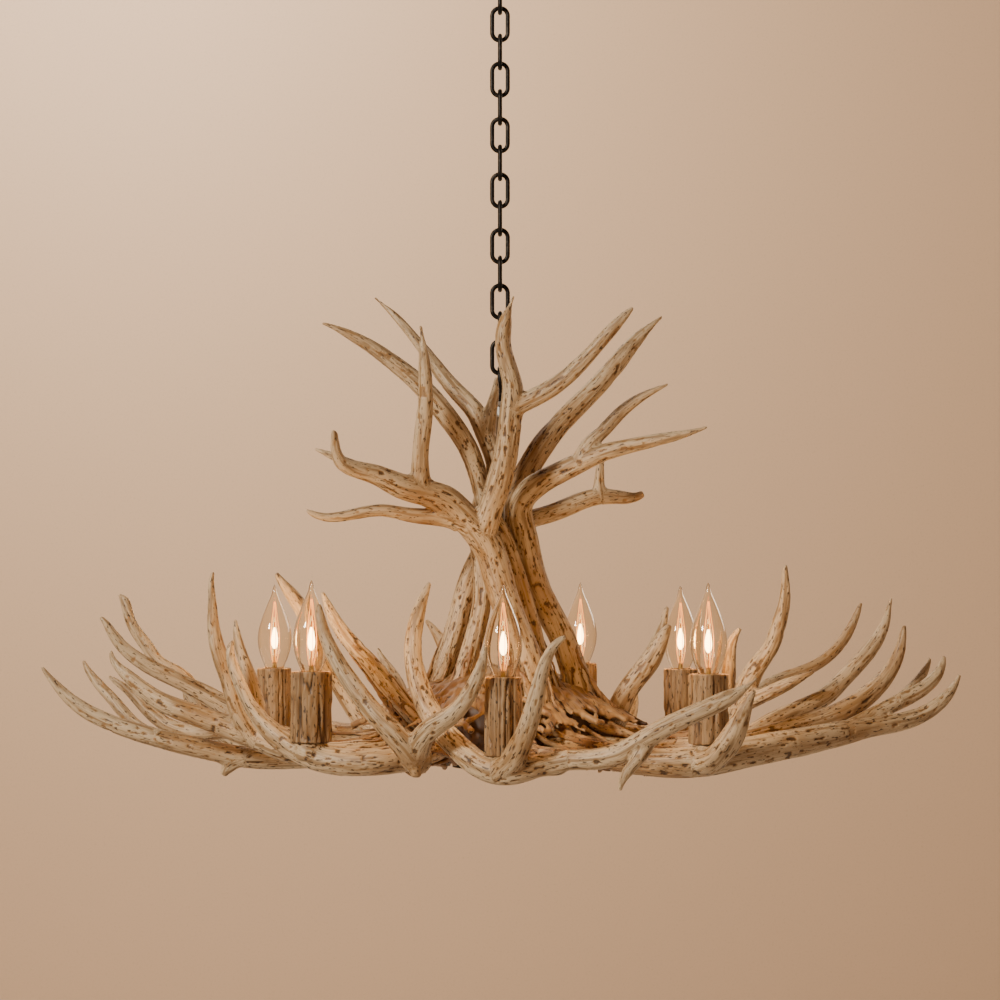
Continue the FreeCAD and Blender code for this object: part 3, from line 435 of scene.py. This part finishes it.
def plain_material(name: str) -> tuple[bpy.types.Material, bpy.types.Node]:
    """Start a material.

    Args:
        name: The material's name.

    Returns:
        The material and its Principled shader.
    """
    material = bpy.data.materials.new(name)
    material.use_nodes = True
    return material, material.node_tree.nodes["Principled BSDF"]


@dataclass(frozen=True)
class Finish:
    """A surface that places a shared group with colours of its own.

    Attributes:
        name: The material's name.
        colours: The group's colour inputs, by name.
        metallic: How metallic the surface is.
        bump: Strength of the bump.
    """

    name: str
    colours: tuple[tuple[str, Colour], ...]
    metallic: float = 0.0
    bump: float = 0.3

    def build(self, group: bpy.types.NodeTree) -> bpy.types.Material:
        """Make the material.

        Args:
            group: The shared group that it places.

        Returns:
            The material.
        """
        material, shader = plain_material(self.name)
        canvas = NodeCanvas(material.node_tree)
        effect = canvas.tree.nodes.new("ShaderNodeGroup")
        effect.node_tree = group
        for name, colour in self.colours:
            effect.inputs[name].default_value = colour
        bump = canvas.tree.nodes.new("ShaderNodeBump")
        bump.inputs["Strength"].default_value = self.bump
        bump.inputs["Distance"].default_value = BUMP_DISTANCE
        canvas.link(effect.outputs["Height"], bump.inputs["Height"])
        canvas.link(effect.outputs["Color"], shader.inputs["Base Color"])
        canvas.link(effect.outputs["Roughness"], shader.inputs["Roughness"])
        canvas.link(bump.outputs["Normal"], shader.inputs["Normal"])
        shader.inputs["Metallic"].default_value = self.metallic
        return material


def bone_finish(name: str, pale: Colour, tan: Colour, warm: Colour, dark: Colour) -> Finish:
    """Name the four colours of a bone or bark finish."""
    return Finish(name, (("Pale", pale), ("Tan", tan), ("Warm", warm), ("Dark", dark)))


def skin_finish(name: str, clean: Colour, worn: Colour, metallic: float) -> Finish:
    """Name the two colours of a metal or plastic finish."""
    return Finish(name, (("Clean", clean), ("Worn", worn)), metallic, 0.12)


ANTLER_PAINT = bone_finish("antler_resin", (0.58, 0.435, 0.265, 1.0), (0.25, 0.15, 0.064, 1.0),
                           (0.33, 0.165, 0.045, 1.0), (0.034, 0.014, 0.005, 1.0))
HUB_PAINT = bone_finish("root_bark", (0.40, 0.235, 0.10, 1.0), (0.20, 0.10, 0.036, 1.0),
                        (0.22, 0.095, 0.028, 1.0), (0.018, 0.008, 0.003, 1.0))
SLEEVE_PAINT = bone_finish("sleeve_bark", (0.37, 0.235, 0.115, 1.0), (0.19, 0.105, 0.042, 1.0),
                           (0.24, 0.12, 0.038, 1.0), (0.022, 0.010, 0.004, 1.0))
HARDWARE = {
    Slot.BLACK: skin_finish("blackened_iron", (0.016, 0.014, 0.012, 1.0), (0.07, 0.06, 0.05, 1.0), 0.75),
    Slot.STEEL: skin_finish("plated_steel", (0.50, 0.49, 0.47, 1.0), (0.32, 0.31, 0.29, 1.0), 0.9),
    Slot.BRASS: skin_finish("lamp_brass", (0.72, 0.50, 0.20, 1.0), (0.52, 0.33, 0.12, 1.0), 0.9),
    Slot.SHELL: skin_finish("socket_plastic", (0.62, 0.52, 0.38, 1.0), (0.45, 0.36, 0.26, 1.0), 0.0),
}


@dataclass(frozen=True)
class Glow:
    """A glowing surface."""

    name: str
    colour: Colour
    strength: float

    def build(self) -> bpy.types.Material:
        """Make the material."""
        material, shader = plain_material(self.name)
        shader.inputs["Base Color"].default_value = self.colour
        shader.inputs["Emission Color"].default_value = self.colour
        shader.inputs["Emission Strength"].default_value = self.strength
        return material


def clear_glass() -> bpy.types.Material:
    """Make the lamp glass."""
    material, shader = plain_material("lamp_glass")
    shader.inputs["Base Color"].default_value = (1.0, 0.94, 0.84, 1.0)
    shader.inputs["Roughness"].default_value = 0.02
    shader.inputs["IOR"].default_value = 1.45
    shader.inputs["Transmission Weight"].default_value = 1.0
    return material


# ------------------------------------------------------------------ shaping


def lattice_noise(points: np.ndarray, seed: int) -> np.ndarray:
    """Smooth noise from 0 to 1 at points, from a seeded lattice.

    Args:
        points: One point per row, in lattice units.
        seed: Which lattice to use.

    Returns:
        One value per point.
    """
    table = np.random.default_rng(seed).random((LATTICE, LATTICE, LATTICE))
    low = np.floor(points).astype(int)
    part = points - low
    part = part * part * (3 - 2 * part)
    total = np.zeros(len(points))
    for corner in np.ndindex(2, 2, 2):
        weight = np.prod(np.where(corner, part, 1 - part), axis=1)
        cell = (low + corner) % LATTICE
        total += weight * table[cell[:, 0], cell[:, 1], cell[:, 2]]
    return total


def vertex_array(obj: bpy.types.Object, name: str = "co") -> np.ndarray:
    """Read a vector of every vertex."""
    values = np.zeros(len(obj.data.vertices) * 3)
    obj.data.vertices.foreach_get(name, values)
    return values.reshape(-1, 3)


def set_vertices(obj: bpy.types.Object, points: np.ndarray) -> None:
    """Move every vertex of a mesh."""
    obj.data.vertices.foreach_set("co", points.ravel())
    obj.data.update()


def store(obj: bpy.types.Object, name: str, values: np.ndarray) -> None:
    """Keep a value or a vector for every vertex as an attribute."""
    vector = values.ndim == 2
    made = obj.data.attributes.new(name, "FLOAT_VECTOR" if vector else "FLOAT", "POINT")
    made.data.foreach_set("vector" if vector else "value", values.astype(np.float32).ravel())


def select_only(obj: bpy.types.Object) -> None:
    """Deselect everything, then select and activate one object."""
    bpy.ops.object.select_all(action="DESELECT")
    obj.select_set(True)
    bpy.context.view_layer.objects.active = obj


def merged_copy(source: bpy.types.Object, name: str) -> bpy.types.Object:
    """Copy a CAD node's mesh into a new object of its own, with its doubles merged.

    Args:
        source: The CAD node.
        name: Name of the new object.

    Returns:
        The new object, at the origin.
    """
    copy = bpy.data.objects.new(name, source.data.copy())
    bpy.context.scene.collection.objects.link(copy)
    copy.data.materials.clear()
    select_only(copy)
    bpy.ops.object.mode_set(mode="EDIT")
    bpy.ops.mesh.select_all(action="SELECT")
    bpy.ops.mesh.remove_doubles(threshold=MERGE_DISTANCE)
    bpy.ops.object.mode_set(mode="OBJECT")
    return copy


def apply_modifier(obj: bpy.types.Object, kind: str, **settings: object) -> None:
    """Add a modifier, set it up and apply it."""
    select_only(obj)
    modifier = obj.modifiers.new(kind.title(), kind)
    for key, value in settings.items():
        setattr(modifier, key, value)
    bpy.ops.object.modifier_apply(modifier=modifier.name)


def remesh(obj: bpy.types.Object, voxel: float, rounds: int) -> None:
    """Rebuild a mesh in even faces and round its joins."""
    apply_modifier(obj, "REMESH", mode="VOXEL", voxel_size=voxel)
    apply_modifier(obj, "SMOOTH", factor=0.5, iterations=rounds)


def finished(obj: bpy.types.Object, material: bpy.types.Material, body: str, slot: Slot,
             *nodes: str) -> bpy.types.Object:
    """Dress a piece and hand it to its body.

    Args:
        obj: The piece.
        material: Its finish.
        body: The body that it rides on.
        slot: The record's material slot; not used.
        nodes: CAD nodes that it stands for.

    Returns:
        The same piece.
    """
    obj.data.materials.clear()
    obj.data.materials.append(material)
    obj.data.polygons.foreach_set("use_smooth", [True] * len(obj.data.polygons))
    obj.data.update()
    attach(obj, body)
    if nodes:
        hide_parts(*nodes)
    LOG.info("%s: %d faces", obj.name, len(obj.data.polygons))
    return obj


@dataclass
class GrainField:
    """Coordinates that follow a branching antler.

    Attributes:
        limbs: Routes in millimetres, each point with its radius.
        step: Distance between samples, in metres.
    """

    limbs: list[Route]
    step: float = 0.003

    def __post_init__(self) -> None:
        """Sample every limb and index the samples by place."""
        parts = [self.sampled(number, route) for number, route in enumerate(self.limbs)]
        self.centres, self.tangents, self.sides, self.lengths, self.radii = (
            np.concatenate(column) for column in zip(*parts))
        self.tree = KDTree(len(self.centres))
        for index, centre in enumerate(self.centres.tolist()):
            self.tree.insert(centre, index)
        self.tree.balance()

    def sampled(self, number: int, route: Route) -> tuple[np.ndarray, ...]:
        """Run a smooth line through one route.

        Args:
            number: Which limb it is.
            route: Its points and radii.

        Returns:
            Centres, tangents, side directions, distances along and radii.
        """
        knots = np.array(route, float) * MM
        ends = np.vstack([2 * knots[0] - knots[1], knots, 2 * knots[-1] - knots[-2]])
        rows = []
        for place in range(len(knots) - 1):
            before, here, after, beyond = ends[place:place + 4]
            pieces = max(2, round(np.linalg.norm((after - here)[:3]) / self.step))
            share = np.arange(pieces)[:, None] / pieces
            rows.append(here + 0.5 * share * (after - before
                                              + share * (2 * before - 5 * here + 4 * after - beyond
                                                         + share * (3 * here - 3 * after + beyond - before))))
        line = np.vstack(rows + [knots[-1:]])
        centres, radii = line[:, :3], line[:, 3]
        tangents = np.gradient(centres, axis=0)
        tangents /= np.linalg.norm(tangents, axis=1)[:, None]
        steps = np.linalg.norm(np.diff(centres, axis=0), axis=1)
        lengths = number * LIMB_OFFSET + np.concatenate([[0.0], np.cumsum(steps)])
        side = np.array([0.31, 0.87, 0.38])
        sides = []
        for tangent in tangents:
            side = side - tangent * side.dot(tangent)
            side = side / np.linalg.norm(side)
            sides.append(side)
        return centres, tangents, np.array(sides), lengths, radii

    def coordinates(self, points: np.ndarray) -> tuple[np.ndarray, np.ndarray]:
        """Give each point its place across and along the limb.

        Args:
            points: One point per row.

        Returns:
            Rows of (across, across, along) in metres, and the local radius.
        """
        nearest = [self.tree.find(point)[1] for point in points.tolist()]
        tangents, sides = self.tangents[nearest], self.sides[nearest]
        away = points - self.centres[nearest]
        along = np.einsum("ij,ij->i", away, tangents)
        grain = np.stack([np.einsum("ij,ij->i", away, sides),
                          np.einsum("ij,ij->i", away, np.cross(tangents, sides)),
                          self.lengths[nearest] + along], axis=1)
        return grain, self.radii[nearest]


@dataclass
class Antler:
    """One antler: the CAD solid with grooves, beads and pits worked into it."""

    name: str
    limbs: list[Route]
    finish: bpy.types.Material
    voxel: float = 0.0015
    stout_radius: float = 0.011
    lump_height: float = 0.0022
    groove_depth: float = 0.0007
    thin_depth: float = 0.0003
    pit_depth: float = 0.0010
    bead_height: float = 0.0004

    def build(self, source: bpy.types.Object) -> bpy.types.Object:
        """Model the antler over its CAD node.

        Args:
            source: The CAD node.

        Returns:
            The finished piece.
        """
        obj = merged_copy(source, self.name + "_carved")
        remesh(obj, self.voxel, 5)
        points = vertex_array(obj)
        normals = vertex_array(obj, "normal")
        grain, radius = GrainField(self.limbs).coordinates(points)
        seed = sum(ord(letter) for letter in self.name)
        broad = lattice_noise(grain * (150.0, 150.0, 9.0) + seed, seed)
        fine = lattice_noise(grain * (300.0, 300.0, 26.0) + seed, seed + 1)
        pits = lattice_noise(grain * (430.0, 430.0, 150.0) + seed, seed + 2)
        lumps = lattice_noise(points * 28.0 + seed, seed + 3)
        body = np.clip(radius / self.stout_radius, 0.12, 1.0)
        groove = 1 - np.clip(np.abs(broad - 0.5) / 0.10, 0, 1)
        thin = 1 - np.clip(np.abs(fine - 0.5) / 0.12, 0, 1)
        pit = np.clip((pits - 0.71) / 0.08, 0, 1)
        height = ((lumps - 0.5) * self.lump_height * body - groove * self.groove_depth * body
                  - thin * self.thin_depth * body)
        height -= pit * self.pit_depth * body
        height += np.clip((broad - 0.62) / 0.2, 0, 1) * self.bead_height * body
        low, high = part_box(self.name)
        set_vertices(obj, np.clip(points + normals * height[:, None], low, high))
        store(obj, "grain", grain)
        # Painted shade: grooves, fine lines and pits are marked to be coloured darker, as if shaded.
        store(obj, "hollow_shade", np.clip(groove * 0.35 + thin * 0.15 + pit * 0.85, 0, 1) * body)
        return finished(obj, self.finish, "fixture", Slot.ANTLER, self.name)


@dataclass
class RootStrands:
    """Winding root strands, collected as curves and turned into one mesh."""

    name: str
    seed: int

    def __post_init__(self) -> None:
        """Start an empty set of strands."""
        self.maker = np.random.default_rng(self.seed)
        self.curve = bpy.data.curves.new(self.name, "CURVE")
        self.curve.dimensions = "3D"
        self.curve.bevel_depth = 0.001
        self.curve.bevel_resolution = 1

    def add(self, points: np.ndarray, thickness: np.ndarray) -> None:
        """Add one strand.

        Args:
            points: Its points, one per row.
            thickness: Its radius at each point, in millimetres.
        """
        line = self.curve.splines.new("NURBS")
        line.points.add(len(points) - 1)
        for spot, point, radius in zip(line.points, points.tolist(), thickness.tolist()):
            spot.co = (*point, 1.0)
            spot.radius = radius
        line.order_u = 3
        line.use_endpoint_u = True

    def mesh(self) -> bpy.types.Object:
        """Turn the strands into a mesh object."""
        obj = bpy.data.objects.new(self.name, self.curve)
        self.curve.use_fill_caps = True
        bpy.context.scene.collection.objects.link(obj)
        select_only(obj)
        bpy.ops.object.convert(target="MESH")
        return bpy.context.view_layer.objects.active


@dataclass
class RootHub:
    """The bark-like mound, wrapped in winding root strands."""

    finish: bpy.types.Material
    strands: int = 190
    voxel: float = 0.0017
    gap_depth: float = 0.0040
    crust: float = 0.014
    knot_height: float = 0.0022
    fibre_height: float = 0.0016

    def wrap(self, low: np.ndarray, high: np.ndarray) -> bpy.types.Object:
        """Lay strands from the crest of the mound out over its side.

        Args:
            low: Lowest corner of the mound.
            high: Highest corner of the mound.

        Returns:
            The strands as one mesh.
        """
        roots = RootStrands("mound_strands", 11)
        maker = roots.maker
        centre, reach = (low + high) / 2, (high - low) / 2
        for _ in range(self.strands):
            share = np.linspace(maker.uniform(0.12, 0.8), maker.uniform(0.95, 1.42), 11)
            turn = maker.uniform(0, 2 * np.pi) + maker.uniform(-1.1, 1.1) * (share - share[0])
            turn = turn + maker.uniform(-0.05, 0.05, len(share))
            rise = np.interp(share, MOUND_SHARES, MOUND_RISES) * (high[2] - low[2])
            lift = maker.uniform(-0.0005, 0.0035, len(share))
            roots.add(np.stack([centre[0] + reach[0] * share * np.cos(turn),
                                centre[1] + reach[1] * share * np.sin(turn),
                                low[2] + rise + lift], axis=1),
                      maker.uniform(1.5, 4.0) * maker.uniform(0.75, 1.2, len(share)))
        return roots.mesh()

    def build(self, source: bpy.types.Object) -> bpy.types.Object:
        """Model the hub over its CAD node.

        Args:
            source: The CAD node.

        Returns:
            The finished piece.
        """
        low, high = (np.array(corner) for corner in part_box("hub"))
        roots = self.wrap(low, high)
        hub = merged_copy(source, "hub_roots")
        shape = vertex_array(hub)
        upper = np.clip((shape[:, 2] - low[2]) / (high[2] - low[2]) - 0.2, 0, 0.5) * 2
        shape[:, 2] += upper * self.crust
        set_vertices(hub, shape)
        mound = BVHTree.FromPolygons([spot.co.copy() for spot in hub.data.vertices],
                                     [tuple(face.vertices) for face in hub.data.polygons])
        roots.select_set(True)
        hub.select_set(True)
        bpy.context.view_layer.objects.active = hub
        bpy.ops.object.join()
        remesh(hub, self.voxel, 1)
        points = vertex_array(hub)
        away = points - (low + high) / 2
        angle = np.arctan2(away[:, 1], away[:, 0])
        grain = np.stack([np.cos(angle) * 0.06, np.sin(angle) * 0.06,
                          np.hypot(away[:, 0], away[:, 1]) + points[:, 2]], axis=1)
        above = np.array([mound.find_nearest(point)[3] or 0.0 for point in points.tolist()])
        knots = lattice_noise(points * 150.0 + 5, 22)
        fibres = lattice_noise(grain * (500.0, 500.0, 45.0) + 7, 21)
        height = (knots - 0.5) * self.knot_height + (fibres - 0.5) * self.fibre_height
        set_vertices(hub, points + vertex_array(hub, "normal") * height[:, None])
        store(hub, "grain", grain)
        # Painted shade: the nearer a point lies to the mound below, in the gaps between strands, the darker
        # it is coloured.
        store(hub, "hollow_shade", np.clip(1.0 - above / self.gap_depth - (knots - 0.5) * 0.6, 0, 1))
        return finished(hub, self.finish, "fixture", Slot.HUB, "hub")


@dataclass
class RootCollars:
    """Root strands that climb from the mound along the butt of every antler."""

    finish: bpy.types.Material
    crown_strands: int = 15
    ring_strands: int = 19
    voxel: float = 0.0016
    gap_depth: float = 0.003
    knot_height: float = 0.0014

    def climb(self, roots: RootStrands, route: Route, count: int, reach: tuple[float, float],
              start: float) -> None:
        """Lay strands along the first stretch of one beam.

        Args:
            roots: The set to add them to.
            route: The beam's route.
            count: How many strands.
            reach: Least and greatest distance that a strand runs, in metres.
            start: Where they start along the beam, in metres.
        """
        beam = GrainField([route])
        maker = roots.maker
        for _ in range(count):
            run = start + maker.uniform(*reach) * np.linspace(0.0, 1.0, 8)
            where = np.clip(np.searchsorted(beam.lengths, run), 0, len(beam.lengths) - 1)
            turn = maker.uniform(0, 2 * np.pi) + np.cumsum(maker.uniform(-0.32, 0.32, len(run)))
            splay = 0.020 * np.exp(-np.linspace(0.0, 5.0, len(run))) * maker.uniform(0.3, 1.0)
            spread = beam.radii[where] + splay + maker.uniform(-0.0012, 0.0006, len(run))
            sides = beam.sides[where]
            across = np.cross(beam.tangents[where], sides)
            outward = np.cos(turn)[:, None] * sides + np.sin(turn)[:, None] * across
            roots.add(beam.centres[where] + outward * spread[:, None],
                      np.linspace(maker.uniform(2.2, 3.4), 0.7, len(run)))

    def build(self) -> bpy.types.Object:
        """Model the collars of all the antlers as one piece."""
        roots = RootStrands("root_collars", 17)
        for limbs in CROWN.values():
            self.climb(roots, limbs[0], self.crown_strands, (0.045, 0.105), 0.004)
        for limbs in RING.values():
            self.climb(roots, limbs[0], self.ring_strands, (0.060, 0.150), 0.008)
        obj = roots.mesh()
        obj.name = "antler_root_collars"
        remesh(obj, self.voxel, 1)
        points = vertex_array(obj)
        field = GrainField([limbs[0] for limbs in {**CROWN, **RING}.values()])
        grain, radius = field.coordinates(points)
        above = np.hypot(grain[:, 0], grain[:, 1]) - radius
        knots = lattice_noise(points * 170.0 + 5, 24)
        height = (knots - 0.5) * self.knot_height
        set_vertices(obj, points + vertex_array(obj, "normal") * height[:, None])
        store(obj, "grain", grain)
        # Painted shade: the nearer a point lies to the antler beneath, in the gaps between strands, the
        # darker it is coloured.
        store(obj, "hollow_shade", np.clip(0.75 - above / self.gap_depth - (knots - 0.5) * 0.5, 0, 1))
        return finished(obj, self.finish, "fixture", Slot.HUB)


@dataclass
class BarkSleeves:
    """The six candle sleeves, modelled as split and peeling bark tubes."""

    finish: bpy.types.Material
    voxel: float = 0.0011
    rim: float = 0.003
    crack_depth: float = 0.0021
    flake_height: float = 0.0016

    def build(self, source: bpy.types.Object) -> bpy.types.Object:
        """Model all the sleeves over their CAD node.

        Args:
            source: The CAD node that holds the six tubes.

        Returns:
            The finished piece.
        """
        obj = merged_copy(source, "candle_sleeves_bark")
        remesh(obj, self.voxel, 1)
        points = vertex_array(obj)
        axes = np.array([lamp[:2] for lamp in LAMPS]) * MM
        tops = np.array([lamp[2] for lamp in LAMPS]) * MM
        radii = np.array([lamp[3] for lamp in LAMPS]) * MM
        nearest = np.argmin(((points[:, None, :2] - axes[None]) ** 2).sum(axis=2), axis=1)
        away = points[:, :2] - axes[nearest]
        distance = np.hypot(away[:, 0], away[:, 1])
        grain = np.stack([away[:, 0], away[:, 1], points[:, 2] + nearest * LIMB_OFFSET], axis=1)
        ridges = lattice_noise(grain * (230.0, 230.0, 20.0) + 3, 31)
        crack = 1 - np.clip(np.abs(ridges - 0.5) / 0.11, 0, 1)
        flakes = lattice_noise(grain * (600.0, 600.0, 95.0) + 3, 32)
        outer = np.clip((distance - radii[nearest] + self.rim) / 0.002, 0, 1)
        fade = np.clip((tops[nearest] - points[:, 2]) / self.rim, 0.1, 1.0) * outer
        height = (-crack * self.crack_depth + (flakes - 0.5) * self.flake_height
                  + (ridges - 0.5) * self.flake_height) * fade
        outward = away / np.maximum(distance, 1e-6)[:, None]
        points[:, :2] += outward * height[:, None]
        set_vertices(obj, points)
        store(obj, "grain", grain)
        # Painted shade: cracks and sunken flakes on the outer face are coloured darker, as if shaded.
        store(obj, "hollow_shade", np.clip(crack * 0.9 + (0.5 - flakes) * 0.7, 0, 1) * outer)
        return finished(obj, self.finish, "fixture", Slot.SLEEVE, "candle_sleeves")


@dataclass
class Filament:
    """The hot part of a bulb: a tall loop of wire over a glass stem, glowing brightest low down."""

    number: int
    hot: bpy.types.Material
    wire: bpy.types.Material
    core_radius: float = 0.0042
    core_rise: float = 0.031
    wires: int = 5
    wire_radius: float = 0.00026
    stations: tuple[tuple[float, float], ...] = (
        (0.006, 0.0020), (0.016, 0.0046), (0.034, 0.0052), (0.052, 0.0026), (0.068, 0.0006))

    def build(self) -> None:
        """Model the glowing core and the fine wires above it."""
        x, y, top = (value * MM for value in LAMPS[self.number - 1][:3])
        bpy.ops.mesh.primitive_uv_sphere_add(segments=20, ring_count=14, radius=self.core_radius,
                                             location=(x, y, top + self.core_rise))
        core = bpy.context.view_layer.objects.active
        core.name = f"bulb_{self.number}_core"
        core.scale = (0.78, 0.78, 2.7)
        bpy.ops.object.transform_apply(location=True, rotation=True, scale=True)
        points = vertex_array(core)
        rise = np.clip((points[:, 2] - top - self.core_rise) / 0.0115, -1, 1)
        points[:, 0] = x + (points[:, 0] - x) * (1 - 0.35 * rise)
        points[:, 1] = y + (points[:, 1] - y) * (1 - 0.35 * rise)
        set_vertices(core, points)
        finished(core, self.hot, f"bulb_{self.number}", Slot.GLASS)
        curve = bpy.data.curves.new("wires", "CURVE")
        curve.dimensions = "3D"
        curve.bevel_depth = self.wire_radius
        for turn in range(self.wires):
            angle = turn * 2 * np.pi / self.wires
            line = curve.splines.new("NURBS")
            line.points.add(len(self.stations) - 1)
            for spot, (rise_up, spread) in zip(line.points, self.stations):
                spot.co = (x + spread * np.cos(angle), y + spread * np.sin(angle), top + rise_up, 1.0)
            line.order_u = 3
            line.use_endpoint_u = True
        wires = bpy.data.objects.new(f"bulb_{self.number}_wires", curve)
        bpy.context.scene.collection.objects.link(wires)
        select_only(wires)
        bpy.ops.object.convert(target="MESH")
        finished(bpy.context.view_layer.objects.active, self.wire, f"bulb_{self.number}", Slot.BRASS)


# ------------------------------------------------------------------ studio


@dataclass
class Studio:
    """The pale floor, the plain warm walls, the lights and the camera."""

    skin: bpy.types.NodeTree
    bulb_power: float = 0.26
    bulb_gap: float = 0.023
    bulb_rise: float = 0.034

    def plane(self, name: str, place: Triple, turn: Triple, colour: Colour) -> None:
        """Add a large plain surface that isn't part of the object."""
        bpy.ops.mesh.primitive_plane_add(size=ROOM, location=place, rotation=turn)
        obj = bpy.context.view_layer.objects.active
        obj.name = name
        bpy.ops.object.transform_apply(location=True, rotation=True, scale=True)
        shade = tuple(value * 0.93 for value in colour[:3]) + (1.0,)
        finish = Finish(name, (("Clean", colour), ("Worn", shade)), bump=0.05)
        obj.data.materials.append(finish.build(self.skin))

    def light(self, name: str, place: Triple, aim: Triple, size: float, power: float,
              colour: Triple) -> None:
        """Add a soft area light aimed at a point."""
        data = bpy.data.lights.new(name, "AREA")
        data.size = size
        data.energy = power
        data.color = colour
        lamp = bpy.data.objects.new(name, data)
        lamp.location = place
        lamp.visible_camera = False
        lamp.rotation_euler = (Vector(aim) - Vector(place)).to_track_quat("-Z", "Y").to_euler()
        bpy.context.scene.collection.objects.link(lamp)

    def bulb_light(self, number: int, side: int) -> None:
        """Put half of one bulb's warm light just outside its glass."""
        x, y, top = (value * MM for value in LAMPS[number - 1][:3])
        data = bpy.data.lights.new(f"bulb_light_{number}_{side}", "POINT")
        data.energy = self.bulb_power
        data.color = (1.0, 0.55, 0.20)
        data.shadow_soft_size = 0.005
        lamp = bpy.data.objects.new(data.name, data)
        lamp.location = (x + side * self.bulb_gap, y, top + self.bulb_rise)
        lamp.visible_camera = lamp.visible_glossy = lamp.visible_transmission = False
        bpy.context.scene.collection.objects.link(lamp)

    def build(self) -> None:
        """Set everything up."""
        wall = (0.60, 0.425, 0.28, 1.0)
        self.plane("pale_floor", (0, 0, FLOOR), (0, 0, 0), (0.62, 0.56, 0.49, 1.0))
        for name, place, turn in (("backdrop", (0, WALL, 0), 0), ("front_wall", (0, -WALL, 0), 0),
                                  ("left_wall", (-WALL, 0, 0), np.pi / 2),
                                  ("right_wall", (WALL, 0, 0), np.pi / 2)):
            self.plane(name, place, (np.pi / 2, 0, turn), wall)
        middle = (0, 0, -0.68)
        self.light("key", (-2.2, -2.3, 0.75), middle, 0.5, 124.0, (1.0, 0.91, 0.79))
        self.light("fill", (2.6, -2.4, -0.5), middle, 2.4, 5.0, (1.0, 0.86, 0.70))
        self.light("wall_wash", (-1.2, 2.4, 1.6), (0.3, WALL, -0.7), 1.6, 150.0, (1.0, 0.88, 0.74))
        self.light("rim", (1.8, 2.2, 0.4), middle, 1.6, 22.0, (1.0, 0.84, 0.66))
        for number in range(1, len(LAMPS) + 1):
            self.bulb_light(number, -1)
            self.bulb_light(number, 1)
        world = bpy.data.worlds.new("soft_room")
        world.use_nodes = True
        sky = world.node_tree.nodes["Background"].inputs
        sky["Color"].default_value = (0.80, 0.66, 0.52, 1.0)
        sky["Strength"].default_value = 0.12
        bpy.context.scene.world = world
        self.camera()

    def camera(self) -> None:
        """Stand the camera 3 m in front, level with the bulbs and tilted up a little."""
        data = bpy.data.cameras.new("view")
        data.sensor_width = 36.0
        data.lens = 108.0
        camera = bpy.data.objects.new("view", data)
        camera.location = (0.0, -CAMERA_DISTANCE, CAMERA_HEIGHT)
        camera.rotation_euler = (np.radians(90.0 + CAMERA_TILT), 0.0, 0.0)
        bpy.context.scene.collection.objects.link(camera)
        bpy.context.scene.camera = camera


def dress_hardware(frame: dict[str, Any], skin: bpy.types.NodeTree) -> None:
    """Give the CAD nodes that stay in view their finishes.

    Args:
        skin: The group that metal and plastic share.
    """
    materials = {slot.value: finish.build(skin) for slot, finish in HARDWARE.items()}
    materials[Slot.GLASS.value] = clear_glass()
    for part in frame["record"]["subparts"]:
        if part["material_slot"] in materials:
            obj = frame["nodes"][part["node"]]
            obj.data.materials.clear()
            obj.data.materials.append(materials[part["material_slot"]])


def main() -> None:
    """Load the frame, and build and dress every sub-assembly."""
    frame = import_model()
    nodes = frame["nodes"]
    grain, skin = grain_and_shade_group(), skin_group()
    Studio(skin).build()
    dress_hardware(frame, skin)
    resin = ANTLER_PAINT.build(grain)
    for name, limbs in {**CROWN, **RING}.items():
        Antler(name, limbs, resin).build(nodes[name])
    bark = HUB_PAINT.build(grain)
    RootHub(bark).build(nodes["hub"])
    RootCollars(bark).build()
    BarkSleeves(SLEEVE_PAINT.build(grain)).build(nodes["candle_sleeves"])
    hot = Glow("hot_core", (1.0, 0.72, 0.34, 1.0), 22.0).build()
    wire = Glow("hot_wire", (1.0, 0.34, 0.055, 1.0), 3.6).build()
    for number in range(1, len(LAMPS) + 1):
        Filament(number, hot, wire).build()


if __name__ == "__main__":
    main()
